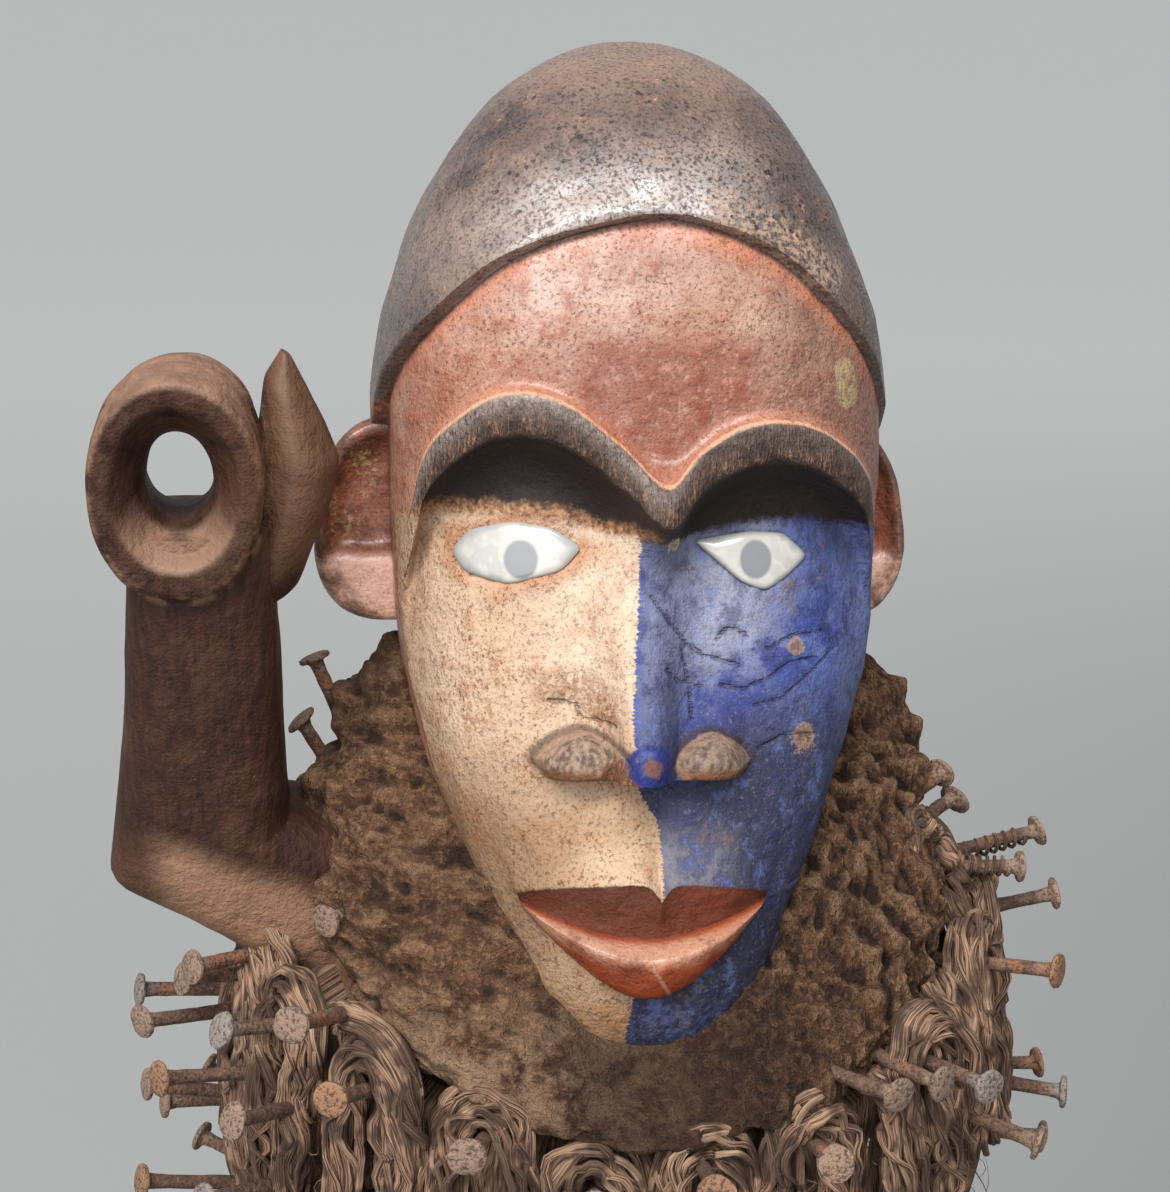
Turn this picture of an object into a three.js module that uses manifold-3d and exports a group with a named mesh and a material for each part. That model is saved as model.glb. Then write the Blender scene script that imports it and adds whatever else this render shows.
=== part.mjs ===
// A standing nail figure: one carved wooden body with a raised arm and a pierced fist, a caked collar
// round the neck, two inlaid glass eyes, a wrapping of fibre hanks round the trunk, and iron nails
// driven through the wrapping into the wood.
// Millimetres, +Z up, the figure faces -Y, and the origin is under the middle of the base.
import * as THREE from "three";
import { mergeVertices } from "three/addons/utils/BufferGeometryUtils.js";
import Module from "manifold-3d";

const wasm = await Module();
wasm.setup();

// Driving dimensions
const BASE_WIDTH = 236;
const BASE_DEPTH = 214;
const BASE_HEIGHT = 40;
const BASE_CORNER = 26;
const HEAD_BOTTOM = -5; // heights on the head are measured from its chin line
const HEAD_TOP = 261;
const HEAD_PITCH = 14; // degrees that the face looks up
const HEAD_PLACE = new THREE.Vector3(0, 0, 657);
const CAP_THICKNESS = 4.5;
const CAP_FLUSH = 0.75; // share of the thickness lost over the left temple
const FACE_SQUARENESS = 2.7; // superellipse powers of the head's sections
const SKULL_SQUARENESS = 2.1;
const TRUNK_SQUARENESS = 2.3;
const WRAP_THICKNESS = 15;
const WRAP_UNDER_HANKS = 9;
const WRAP_BOTTOM = 398;
const WRAP_SHINGLED_TO = 640;
const HANKS_ROUND = 13;
const HANK_ROWS = 5;
const STRAND_RADIUS = 5.2; // of a looped hank
const LOOP_HALF_WIDTH = 8;
const NAIL_RADIUS = 2.1;
const NAIL_HEAD_RADIUS = 4.6;
const NAIL_HEAD_THICKNESS = 1.8;
const NAIL_SIDES = 5;
const NAIL_OUT = 48; // from the wood to the nail's head
const LOOP_NAIL_OUT = 40; // the same for a nail that holds a loop
const NAIL_IN = 12; // driven into the wood
const GAP = 0.5; // between pieces that touch
const ARM_CLEARANCE = 2.5; // between the lowered arm and the wrapping
const SLIVER = 0.12; // details smaller than this are smoothed away

const radians = THREE.MathUtils.degToRad;

// A smooth curve through [position, value] knots: cubic pieces with central-difference slopes.
function curve(knots) {
  const slope = knots.map((_, i) => {
    const [a, b] = [knots[Math.max(i - 1, 0)], knots[Math.min(i + 1, knots.length - 1)]];
    return (b[1] - a[1]) / (b[0] - a[0]);
  });
  return (at) => {
    if (at <= knots[0][0]) return knots[0][1];
    if (at >= knots.at(-1)[0]) return knots.at(-1)[1];
    const i = knots.findIndex((k) => k[0] > at) - 1;
    const [x0, y0] = knots[i];
    const [x1, y1] = knots[i + 1];
    const h = x1 - x0;
    const t = (at - x0) / h;
    return (
      y0 * (1 + 2 * t) * (1 - t) ** 2 +
      y1 * t * t * (3 - 2 * t) +
      h * t * (1 - t) * (slope[i] * (1 - t) - slope[i + 1] * t)
    );
  };
}

// Radius of a unit superellipse in the direction of an angle.
function roundedRadius(angle, power) {
  return (Math.abs(Math.sin(angle)) ** power + Math.abs(Math.cos(angle)) ** power) ** (-1 / power);
}

// A point on an upright rounded section: angle 0 faces -Y and 90 degrees faces +X.
function onSection(angle, z, { halfWidth, halfDepth, y }, power) {
  const r = roundedRadius(angle, power);
  return new THREE.Vector3(halfWidth * r * Math.sin(angle), y - halfDepth * r * Math.cos(angle), z);
}

// A closed surface through rings of points. A ring of one point is a pole, and open ends get a flat cap.
function loft(rings) {
  const first = rings[0];
  const last = rings.at(-1);
  const middle = (ring) => [ring.reduce((sum, p) => sum.add(p), new THREE.Vector3()).divideScalar(ring.length)];
  const all = [...(first.length > 1 ? [middle(first)] : []), ...rings, ...(last.length > 1 ? [middle(last)] : [])];
  const positions = [];
  const face = (...points) => points.forEach((p) => positions.push(p.x, p.y, p.z));
  for (let i = 0; i + 1 < all.length; i++) {
    const [low, high] = [all[i], all[i + 1]];
    const n = Math.max(low.length, high.length);
    for (let j = 0; j < n; j++) {
      const [a, b] = [low[j % low.length], low[(j + 1) % low.length]];
      const [c, d] = [high[(j + 1) % high.length], high[j % high.length]];
      if (low.length > 1) face(a, b, c);
      if (high.length > 1) face(a, c, d);
    }
  }
  const geometry = new THREE.BufferGeometry();
  geometry.setAttribute("position", new THREE.Float32BufferAttribute(positions, 3));
  return geometry;
}

// Any closed geometry as a solid, turned the right way out.
function solid(geometry) {
  const bare = geometry.index ? geometry.toNonIndexed() : geometry.clone();
  bare.deleteAttribute("normal");
  bare.deleteAttribute("uv");
  const merged = mergeVertices(bare, 1e-3);
  const vertProperties = merged.attributes.position.array;
  const triVerts = new Uint32Array(merged.index.array);
  const made = new wasm.Manifold(new wasm.Mesh({ numProp: 3, vertProperties, triVerts }));
  if (made.volume() > 0) return made;
  return new wasm.Manifold(new wasm.Mesh({ numProp: 3, vertProperties, triVerts: triVerts.reverse() }));
}

// The largest body of a solid, as a geometry without slivers.
function geometryOf(made) {
  const body = made.simplify(SLIVER).decompose().sort((a, b) => b.volume() - a.volume())[0];
  const mesh = body.getMesh();
  const geometry = new THREE.BufferGeometry();
  geometry.setAttribute("position", new THREE.Float32BufferAttribute(mesh.vertProperties, 3));
  geometry.setIndex(new THREE.Uint32BufferAttribute(mesh.triVerts, 1));
  return geometry;
}

// Outline of the head from the chin to the crown: height, half width, front, back, and how far the
// section stands to the figure's left.
const HEAD_STATIONS = [
  [HEAD_BOTTOM, 0, -40, -40, 0],
  [-2, 15, -52, -26, 0],
  [4, 24, -56, -16, 0],
  [14, 31, -58, -6, 0],
  [28, 38, -58, 8, 0],
  [48, 48, -57, 30, 0],
  [67, 56.5, -56, 50, 0.5],
  [97, 64.5, -54, 72, 1.5],
  [122, 66.5, -52, 82, 1.5],
  [150, 67.5, -54, 88, 1.5],
  [170, 67, -55, 89, 1.2],
  [191, 63, -54, 85, 0.6],
  [218, 53, -45, 74, 0],
  [234, 43.5, -35, 62, 0],
  [246, 34, -24, 49, 0],
  [256, 20, -8, 31, 0],
  [HEAD_TOP, 0, 10, 10, 0],
];

// Position along the head that is evenly spaced round the poles too.
const poleAngle = (z) => Math.acos(1 - (2 * (z - HEAD_BOTTOM)) / (HEAD_TOP - HEAD_BOTTOM));
const heightAt = (angle) => HEAD_BOTTOM + ((HEAD_TOP - HEAD_BOTTOM) * (1 - Math.cos(angle))) / 2;
const [headHalfWidth, headFront, headBack, headAside] = [1, 2, 3, 4].map((i) =>
  curve(HEAD_STATIONS.map((s) => [poleAngle(s[0]), s[i]])),
);

// Heights of the two carved lines that run round the head, by angle in degrees from the front:
// the upper edge of the brows, and the rim of the cap.
const browLine = curve([
  [-180, 60], [-130, 72], [-100, 96], [-75, 118], [-61, 134], [-54, 149], [-45, 158], [-34, 165],
  [-22, 163.5], [-9, 152], [0, 142.5], [8, 151.5], [18, 158], [30, 158], [42, 151.5], [51, 144],
  [59, 135], [75, 118], [100, 96], [130, 72], [180, 60],
]);
const rimLine = curve([
  [-180, 84], [-130, 100], [-100, 134], [-75, 164], [-51, 184], [-34, 199], [-13, 207.5],
  [6, 209], [26, 201.5], [42, 186], [60, 167], [80, 150], [100, 132], [130, 100], [180, 84],
]);

// The mouth's lines by the same angle: the parting of the lips and their outer edges.
const MOUTH = { at: -4.5, degrees: 43.5, corner: 38, top: 44, middle: 29.8, bottom: 13.8, notchAt: 0, notch: 3 };
const across = (degrees) =>
  Math.cos((Math.PI / 2) * THREE.MathUtils.clamp((degrees - MOUTH.at) / MOUTH.degrees, -1, 1));
const lipLine = (corner, middle, power) => (degrees) => corner + (middle - corner) * across(degrees) ** power;
const partingLine = lipLine(MOUTH.corner, MOUTH.middle, 1);
const underLipLine = lipLine(MOUTH.corner - 1.5, MOUTH.bottom, 0.8);
const upperLipLine = (degrees) =>
  lipLine(MOUTH.corner + 1.5, MOUTH.top, 1)(degrees) -
  MOUTH.notch * Math.exp(-(((degrees - MOUTH.notchAt) / 5) ** 2));
// Below the brows the rows of points sink towards the nape.
const sinking = (line) => (degrees) => {
  const share = 0.58 * THREE.MathUtils.smoothstep(Math.abs(degrees), 60, 150);
  return THREE.MathUtils.lerp(line(degrees), HEAD_BOTTOM, share);
};

// Relief of the brows by the distance below their upper edge.
const BROW_BAND = 11;
const CHEEK_TOP = 131;
const browRelief = curve([
  [-40, 0], [-14, 0.6], [0, 4.5], [BROW_BAND, 4.5], [BROW_BAND + 2, 1], [19, -7], [30, -7], [50, -4], [80, 0],
]);
// Height and half width of the nose, by height on the head.
const NOSE = { base: 66, tip: 70.5, wingTop: 82 };
const noseHeight = curve([
  [NOSE.base - 4, 0], [NOSE.base, 3], [NOSE.tip, 19], [76, 20], [90, 15], [112, 11], [134, 9], [150, 0],
]);
const noseHalfWidth = curve([[60, 15], [80, 12], [110, 9], [150, 7]]);
// The nose and mouth stand a little to the figure's right: the nose's middle by height, and its two wings.
const noseMiddle = curve([[0, -3], [40, -3.4], [75, -4.2], [105, -4.6], [130, -2], [143, 0]]);
const WINGS = [
  { x: -19.4, z: 75.5, halfWidth: 12, halfHeight: 7 },
  { x: 13.8, z: 74.5, halfWidth: 11, halfHeight: 6.5 },
];
const WING_RELIEF = 10;

// How far the face stands forward of the plain head at a point, in front view.
function faceRelief(degrees, x, z) {
  const edge = THREE.MathUtils.smoothstep(66 - Math.abs(x), 0, 8);
  const brows = browRelief(browLine(degrees) - z) * edge;
  const offMiddle = x - noseMiddle(z);
  const nose = noseHeight(z) * Math.exp(-((Math.abs(offMiddle) / noseHalfWidth(z)) ** 2.4));
  const wings = WINGS.map((wing) => {
    const distance = Math.hypot((x - wing.x) / wing.halfWidth, (z - wing.z) / wing.halfHeight);
    return WING_RELIEF * Math.sqrt(Math.max(0, 1 - distance ** 2));
  });
  const muzzle = 6 * Math.exp(-((offMiddle / 38) ** 2) - ((z - 34) / 30) ** 2);
  const [under, parting, upper] = [underLipLine, partingLine, upperLipLine].map((line) => line(degrees));
  const fullness = across(degrees) ** 0.5;
  let lips = 0;
  if (z > parting && z < upper + 0.1) lips = 6 * fullness * ((z - parting) / (upper - parting)) ** 0.7;
  if (z <= parting && z > under) {
    lips = 8 * fullness * Math.max(0, Math.sin((Math.PI * (z - under)) / (parting - under))) ** 0.6;
  }
  return brows + Math.max(nose, ...wings) + muzzle + lips;
}

// A point of the head at an angle in degrees and a height, in the head's own frame.
function onHead(degrees, z, capShare, grow) {
  const angle = radians(degrees);
  const along = poleAngle(z);
  const [front, back] = [headFront(along), headBack(along)];
  const power = Math.cos(angle) > 0 ? FACE_SQUARENESS : SKULL_SQUARENESS;
  const flush = CAP_FLUSH * Math.max(0, Math.sin(angle)) ** 2;
  const cap = CAP_THICKNESS * (1 - flush) * capShare * Math.sin(along) ** 0.5 + grow * Math.sin(along);
  const section = {
    halfWidth: headHalfWidth(along) + cap,
    halfDepth: (back - front) / 2 + cap,
    y: (front + back) / 2,
  };
  const point = onSection(angle, z + grow * -Math.cos(along), section, power);
  point.x += headAside(along);
  const facing = THREE.MathUtils.smoothstep(Math.cos(angle), 0.15, 0.5) * (1 - capShare);
  if (facing > 0) point.y -= facing * faceRelief(degrees, point.x, z);
  return point;
}

// The head: its rows of points follow the lines of the mouth, nose, brows and cap, which stay crisp.
function head(grow) {
  const columns = 34;
  const capRows = 5;
  const degrees = Array.from({ length: columns }, (_, j) => {
    const u = (2 * j) / columns - 1;
    return 180 * (0.48 * u + 0.52 * u ** 3);
  });
  // each line round the head, with the number of rows that lead up to it
  const lines = [
    [() => HEAD_BOTTOM, 0],
    [sinking(underLipLine), 3],
    [sinking(partingLine), 2],
    [sinking(upperLipLine), 1],
    [sinking((d) => upperLipLine(d) + 1.2), 1],
    [sinking(() => NOSE.base), 2],
    [sinking(() => NOSE.tip), 1],
    [sinking(() => NOSE.wingTop), 2],
    [(d) => Math.min(CHEEK_TOP, browLine(d) - BROW_BAND - 3), 3],
    [(d) => browLine(d) - BROW_BAND, 2],
    [browLine, 1],
    [rimLine, 2],
  ];
  const ring = (from, to, share, capShare) =>
    degrees.map((d) => {
      const [a, b] = [from, to].map((line) => poleAngle(line(d)));
      return onHead(d, heightAt(a + (b - a) * share), capShare, grow);
    });
  const rings = [[onHead(0, HEAD_BOTTOM, 0, grow)]];
  lines.slice(1).forEach(([line, rows], i) => {
    for (let row = 1; row <= rows; row++) rings.push(ring(lines[i][0], line, row / rows, 0));
  });
  const capRim = (d) => rimLine(d) + 1;
  for (let i = 0; i < capRows; i++) rings.push(ring(capRim, () => HEAD_TOP, i / capRows, 1));
  rings.push([onHead(0, HEAD_TOP, 1, grow)]);
  return loft(rings);
}

// An ear: a dished oval plate that stands out of the side of the head, open to the front.
const EAR = { rightX: -66, leftX: 60, y: 14, z: 130, halfWidth: 20, halfHeight: 28 };
function ear(side, grow) {
  const root = side < 0 ? EAR.rightX : EAR.leftX;
  const columns = 12;
  // share of the oval's size, and depth behind its middle plane
  const profile = [[0, -1], [0.6, -2], [0.86, -7], [1, -3], [1, 3], [0, 9]];
  const rings = profile.map(([share, depth]) => {
    const count = share === 0 ? 1 : columns;
    return Array.from({ length: count }, (_, j) => {
      const angle = (2 * Math.PI * j) / columns;
      return new THREE.Vector3(
        root + side * (share * EAR.halfWidth + (share && grow)) * Math.cos(angle),
        EAR.y + depth * (1 + grow / 8),
        EAR.z + (share * EAR.halfHeight + (share && grow)) * Math.sin(angle),
      );
    });
  });
  return loft(rings);
}

function placeOnNeck(geometry) {
  return geometry.rotateX(-radians(HEAD_PITCH)).translate(...HEAD_PLACE.toArray());
}

// The trunk from the hem of the loincloth to the neck: height, half width, half depth, middle.
const TRUNK_STATIONS = [
  [290, 84, 70, 12],
  [370, 77, 63, 12],
  [372, 82, 68, 12],
  [388, 82, 68, 12],
  [390, 75, 61, 12],
  [440, 72, 59, 12],
  [520, 78, 65, 13],
  [600, 85, 72, 14],
  [660, 86, 72, 16],
  [688, 82, 62, 20],
  [708, 68, 50, 24],
  [726, 52, 44, 27],
  [742, 43, 42, 30],
];
const [trunkHalfWidth, trunkHalfDepth, trunkMiddle] = [1, 2, 3].map((i) =>
  curve(TRUNK_STATIONS.map((s) => [s[0], s[i]])),
);
function onTrunk(angle, z, out) {
  const section = { halfWidth: trunkHalfWidth(z) + out, halfDepth: trunkHalfDepth(z) + out, y: trunkMiddle(z) };
  return onSection(angle, z, section, TRUNK_SQUARENESS);
}
function trunk(grow) {
  const columns = 18;
  return loft(
    TRUNK_STATIONS.map(([z]) =>
      Array.from({ length: columns }, (_, j) => onTrunk((2 * Math.PI * j) / columns, z, grow)),
    ),
  );
}

// A limb: rounded sections at stations of middle and two half axes.
function limb(stations, power, columns, grow) {
  return loft(
    stations.map(({ at, first, second }) => {
      const [middle, a, b] = [at, first, second].map((v) => new THREE.Vector3(...v));
      a.setLength(a.length() + grow);
      b.setLength(b.length() + grow);
      return Array.from({ length: columns }, (_, j) => {
        const angle = (2 * Math.PI * j) / columns;
        const r = roundedRadius(angle, power);
        return middle.clone().addScaledVector(a, r * Math.cos(angle)).addScaledVector(b, r * Math.sin(angle));
      });
    }),
  );
}

// The raised right arm, mitred at the elbow.
const RAISED_ARM = [
  { at: [-45, 20, 664], first: [0, 0, -28], second: [0, 26, 0] },
  { at: [-82, 14, 681], first: [3, 0, -27], second: [0, 24, 0] },
  { at: [-117.5, 9, 702], first: [-24, 0, -8], second: [0, 23, 0] },
  { at: [-115.5, 9, 735], first: [-21, 0, 0], second: [0, 22, 0] },
  { at: [-115, 9, 792], first: [-18.5, 0, 0], second: [0, 19, 0] },
];
// The left arm hangs against the trunk, and its forearm comes forward to rest the hand on the hip.
const LOWERED_ARM = [
  { at: [54, 22, 686], first: [0, 24, 0], second: [20, 0, 18] },
  { at: [76, 22, 650], first: [0, 26, 0], second: [23, 0, 10] },
  { at: [86, 22, 606], first: [0, 24, 0], second: [22, 0, 3] },
  { at: [94, 23, 545], first: [0, 22, 0], second: [21, 0, 2] },
  { at: [98, 24, 500], first: [0, 21, 0], second: [20, 0, 0] },
  { at: [98, 24, 478], first: [0, 14, 0], second: [13, 0, 0] },
];
const FOREARM = [
  { at: [98, 34, 500], first: [0, 0, 14], second: [13, 2, 0] },
  { at: [98, 22, 498], first: [0, 3, 20], second: [19, 3, 0] },
  { at: [93, -8, 478], first: [0, 6, 18], second: [15, 6, 0] },
  { at: [83, -34, 458], first: [0, 6, 16], second: [13, 8, 0] },
  { at: [68, -56, 446], first: [0, 3, 17], second: [9, 9, 0] },
  { at: [56, -66, 440], first: [0, 1, 9], second: [5, 6, 0] },
];

// The fist: four fingers curled into rings round a hole that runs from front to back.
const FIST = { x: -120, front: -15, back: 28, z: 805.5, halfWidth: 22, halfHeight: 29 };
const FIST_PROFILE = [
  // distance from the hole's middle as a share of the fist's size, and place from front to back
  [0.4, 0.5], [0.52, 0.26], [0.72, 0.02], [0.94, 0], [1, 0.1], [0.96, 0.25], [1, 0.42],
  [0.95, 0.52], [0.98, 0.66], [0.92, 0.77], [0.9, 0.96], [0.64, 1],
];
function fist(grow) {
  const columns = 14;
  const length = FIST.back - FIST.front;
  const ring = ([share, along]) =>
    Array.from({ length: columns }, (_, j) => {
      const angle = (2 * Math.PI * j) / columns;
      const out = share > 0.8 ? grow : -grow;
      return new THREE.Vector3(
        FIST.x + (share * FIST.halfWidth + out) * Math.sin(angle),
        FIST.front + along * length + (along > 0.5 ? grow : -grow),
        FIST.z + (share * FIST.halfHeight + out) * Math.cos(angle),
      );
    });
  const rings = FIST_PROFILE.map(ring);
  const positions = [];
  rings.forEach((low, i) => {
    const high = rings[(i + 1) % rings.length];
    low.forEach((a, j) => {
      const next = (j + 1) % columns;
      [a, low[next], high[next], a, high[next], high[j]].forEach((p) => positions.push(p.x, p.y, p.z));
    });
  });
  const geometry = new THREE.BufferGeometry();
  geometry.setAttribute("position", new THREE.Float32BufferAttribute(positions, 3));
  return geometry;
}
// The thumb stands up beside the fist and ends in a point.
const THUMB = [
  { at: [-100, 14, 770], first: [10, 0, 4], second: [0, 16, 0] },
  { at: [-94, 15, 790], first: [12, 0, 3], second: [0, 17, 0] },
  { at: [-90, 17, 808], first: [11, 0, -2], second: [0, 15, 0] },
  { at: [-91, 19, 821], first: [8, 0, -6], second: [0, 10, 0] },
  { at: [-93, 20, 833], first: [1.5, 0, -1], second: [0, 2, 0] },
];

// A short bent leg with its foot, on one side.
const LEG = [
  { at: [38, 14, 312], first: [35, 0, 0], second: [0, 40, 0] },
  { at: [42, 6, 258], first: [32, 0, 0], second: [0, 36, 0] },
  { at: [46, -5, 210], first: [28, 0, 0], second: [0, 30, 0] },
  { at: [47, 10, 158], first: [30, 0, 0], second: [0, 33, 0] },
  { at: [47, 24, 94], first: [22, 0, 0], second: [0, 25, 0] },
  { at: [47, 24, 56], first: [23, 0, 0], second: [0, 26, 0] },
  { at: [47, 24, 34], first: [23, 0, 0], second: [0, 26, 0] },
];
const FOOT = [
  { at: [47, 52, 50], first: [18, 0, 0], second: [0, 0, 14] },
  { at: [47, 34, 58], first: [23, 0, 0], second: [0, 0, 22] },
  { at: [48, -12, 54], first: [26, 0, 0], second: [0, 0, 19] },
  { at: [51, -52, 48], first: [29, 0, 0], second: [0, 0, 12] },
  { at: [52, -68, 45], first: [22, 0, 0], second: [0, 0, 8] },
];
function mirrored(stations, side) {
  return stations.map(({ at, first, second }) => ({ at: [side * at[0], at[1], at[2]], first, second }));
}

function base() {
  const outline = new THREE.Shape();
  const [w, d, r] = [BASE_WIDTH / 2, BASE_DEPTH / 2, BASE_CORNER];
  outline.moveTo(-w + r, -d);
  outline.lineTo(w - r, -d);
  outline.absarc(w - r, -d + r, r, -Math.PI / 2, 0, false);
  outline.absarc(w - r, d - r, r, 0, Math.PI / 2, false);
  outline.absarc(-w + r, d - r, r, Math.PI / 2, Math.PI, false);
  outline.absarc(-w + r, -d + r, r, Math.PI, 1.5 * Math.PI, false);
  return new THREE.ExtrudeGeometry(outline, { depth: BASE_HEIGHT, bevelEnabled: false, curveSegments: 4 });
}

// The wooden figure as one solid. grow thickens it, to cut its neighbours clear of it.
function figure(grow = 0) {
  const pieces = [
    placeOnNeck(head(grow)),
    ...[-1, 1].map((side) => placeOnNeck(ear(side, grow))),
    trunk(grow),
    limb(RAISED_ARM, 3, 12, grow),
    limb(LOWERED_ARM, 2.4, 10, grow),
    limb(FOREARM, 2.4, 10, grow),
    fist(grow),
    limb(THUMB, 1.7, 8, grow),
    ...[-1, 1].flatMap((side) => [
      limb(mirrored(LEG, side), 2.3, 12, grow),
      limb(mirrored(FOOT, side), 2.6, 10, grow),
    ]),
    base(),
  ];
  return wasm.Manifold.union(pieces.map(solid));
}

// An inlaid eye: an almond plate let into the face. grow widens it, to cut its pocket.
const EYES = {
  eye_right: { degrees: -30, z: 125, halfWidth: 16, halfHeight: 7.8, turn: -13 },
  eye_left: { degrees: 21.5, z: 123.7, halfWidth: 15, halfHeight: 7.8, turn: 12 },
};
const EYE_THICKNESS = 4;
const EYE_PROUD = 0.9;
function eye({ degrees, z, halfWidth, halfHeight, turn }, grow) {
  const [w, h] = [halfWidth + grow, halfHeight + grow];
  const almond = new THREE.Shape();
  almond.moveTo(-w, 0);
  almond.quadraticCurveTo(-w * 0.75, h, 0, h);
  almond.quadraticCurveTo(w * 0.75, h, w, 0);
  almond.quadraticCurveTo(w * 0.75, -h, 0, -h);
  almond.quadraticCurveTo(-w * 0.75, -h, -w, 0);
  const plate = new THREE.ExtrudeGeometry(almond, { depth: EYE_THICKNESS + 2 * grow, bevelEnabled: false, curveSegments: 3 });
  const middle = onHead(degrees, z, 0, 0);
  plate.translate(0, 0, -EYE_THICKNESS + EYE_PROUD - 2 * grow).rotateX(Math.PI / 2);
  return placeOnNeck(plate.rotateZ(radians(turn)).translate(middle.x, middle.y, middle.z));
}

// The caked collar: low under the chin and high behind the ears, cut to fit the head and shoulders.
const COLLAR_STATIONS = [
  // share of the height, half width, half depth, middle
  [0.02, 72, 72, 2], [0.16, 82, 83, 4], [0.45, 85, 85, 8], [0.74, 79, 76, 14], [0.92, 67, 60, 22], [1, 52, 42, 28],
];
const collarTop = curve([[-90, 678], [-50, 691], [0, 720], [40, 742], [110, 744]]);
const CHIN_DIP = { depth: 16, halfWidth: 24 }; // the hollow in the collar that leaves the chin free
const chinDip = ({ x, y }) =>
  CHIN_DIP.depth * Math.exp(-((x / CHIN_DIP.halfWidth) ** 2)) * THREE.MathUtils.smoothstep(-y, 25, 50);
const collarBottom = curve([[-76, 655], [-40, 667], [0, 687], [40, 698], [110, 698]]);
function collar(grow) {
  const columns = 20;
  return loft(
    COLLAR_STATIONS.map(([share, halfWidth, halfDepth, y]) =>
      Array.from({ length: columns }, (_, j) => {
        const section = { halfWidth: halfWidth + grow, halfDepth: halfDepth + grow, y };
        const point = onSection((2 * Math.PI * j) / columns, 0, section, 2.1);
        const top = collarTop(point.y) - chinDip(point);
        point.z = THREE.MathUtils.lerp(collarBottom(point.y) - grow, top + grow, share);
        return point;
      }),
    ),
  );
}

// The wrapping: rows of matted hanks that hang over each other like shingles round the trunk, and a
// plainer layer above them that the looped hanks lie on.
const wrapTop = curve([[-70, 647], [-30, 662], [10, 685], [100, 694]]);
function wrapping(grow) {
  const perHank = 2;
  const columns = perHank * HANKS_ROUND;
  const rowHeight = (WRAP_SHINGLED_TO - WRAP_BOTTOM) / HANK_ROWS;
  const around = (z, out, row) =>
    Array.from({ length: columns }, (_, j) => {
      const angle = (2 * Math.PI * (j + (row % 2))) / columns;
      const valley = j % perHank === 0 ? 4 : 0;
      return onTrunk(angle, z, out - valley + grow);
    });
  const inside = (z) => Array.from({ length: columns }, (_, j) => onTrunk((2 * Math.PI * j) / columns, z, -8));
  const rings = [inside(WRAP_BOTTOM - grow)];
  for (let row = 0; row < HANK_ROWS; row++) {
    const foot = WRAP_BOTTOM + row * rowHeight;
    rings.push(around(foot + 0.1 * rowHeight, WRAP_THICKNESS + 2, row));
    rings.push(around(foot + 0.95 * rowHeight, WRAP_THICKNESS - 6, row));
  }
  const [shingleEnd, outerEdge] = [around(WRAP_SHINGLED_TO + 4, WRAP_UNDER_HANKS + 2, 0), 4];
  const edge = shingleEnd.map(({ y }, j) => {
    const angle = (2 * Math.PI * j) / columns;
    return onTrunk(angle, wrapTop(y) - outerEdge, WRAP_UNDER_HANKS + grow);
  });
  const top = inside(WRAP_SHINGLED_TO).map(({ x, y }) => new THREE.Vector3(x, y, wrapTop(y) + grow));
  rings.push(shingleEnd, edge, top);
  return loft(rings);
}

// A looped hank: a strand laid over a nail, with both ends hanging down the wrapping.
const LOOPS = [
  // the nail's angle round the trunk, height, turn to the side and lift, and the length of the ends
  [-79, 661, 14, 12, 42], [-60, 661, 4, 14, 46], [-42, 656, 8, 18, 70], [-26, 648, 10, 20, 38],
  [-10, 635, 4, 22, 36], [8, 640, -10, 20, 40], [25, 644, -20, 20, 38], [42, 662, -6, 6, 46],
  [61, 672, -2, 10, 48], [80, 671, 10, 12, 44],
];
function loopedHank([degrees, z, turn, lift, length]) {
  const w = LOOP_HALF_WIDTH;
  const depth = WRAP_THICKNESS + STRAND_RADIUS - 2; // where the nail passes through the loop
  const [aside, above] = [turn, lift].map((d) => depth * Math.tan(radians(d)));
  // sideways, upwards and outwards from that place
  const half = [[-w + 1, -length, 5], [-w, -length * 0.6, 3], [-w - 0.5, -length * 0.25, 1], [-w, 2, 0], [-w * 0.6, 7, 0]];
  const route = [...half, [0, 9.5, 0], ...half.map(([side, ...rest]) => [-side, ...rest]).reverse()];
  const points = route.map(([side, up, out]) => {
    const angle = radians(degrees) + (side + aside) / (trunkHalfWidth(z) + depth);
    return onTrunk(angle, z + up + above, depth + out);
  });
  const sides = 5;
  const corners = Array.from({ length: sides }, (_, i) => {
    const angle = (2 * Math.PI * i) / sides;
    return new THREE.Vector2(STRAND_RADIUS * Math.cos(angle), STRAND_RADIUS * Math.sin(angle));
  });
  const path = new THREE.CatmullRomCurve3(points);
  return new THREE.ExtrudeGeometry(new THREE.Shape(corners), { steps: 9, extrudePath: path });
}

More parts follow.
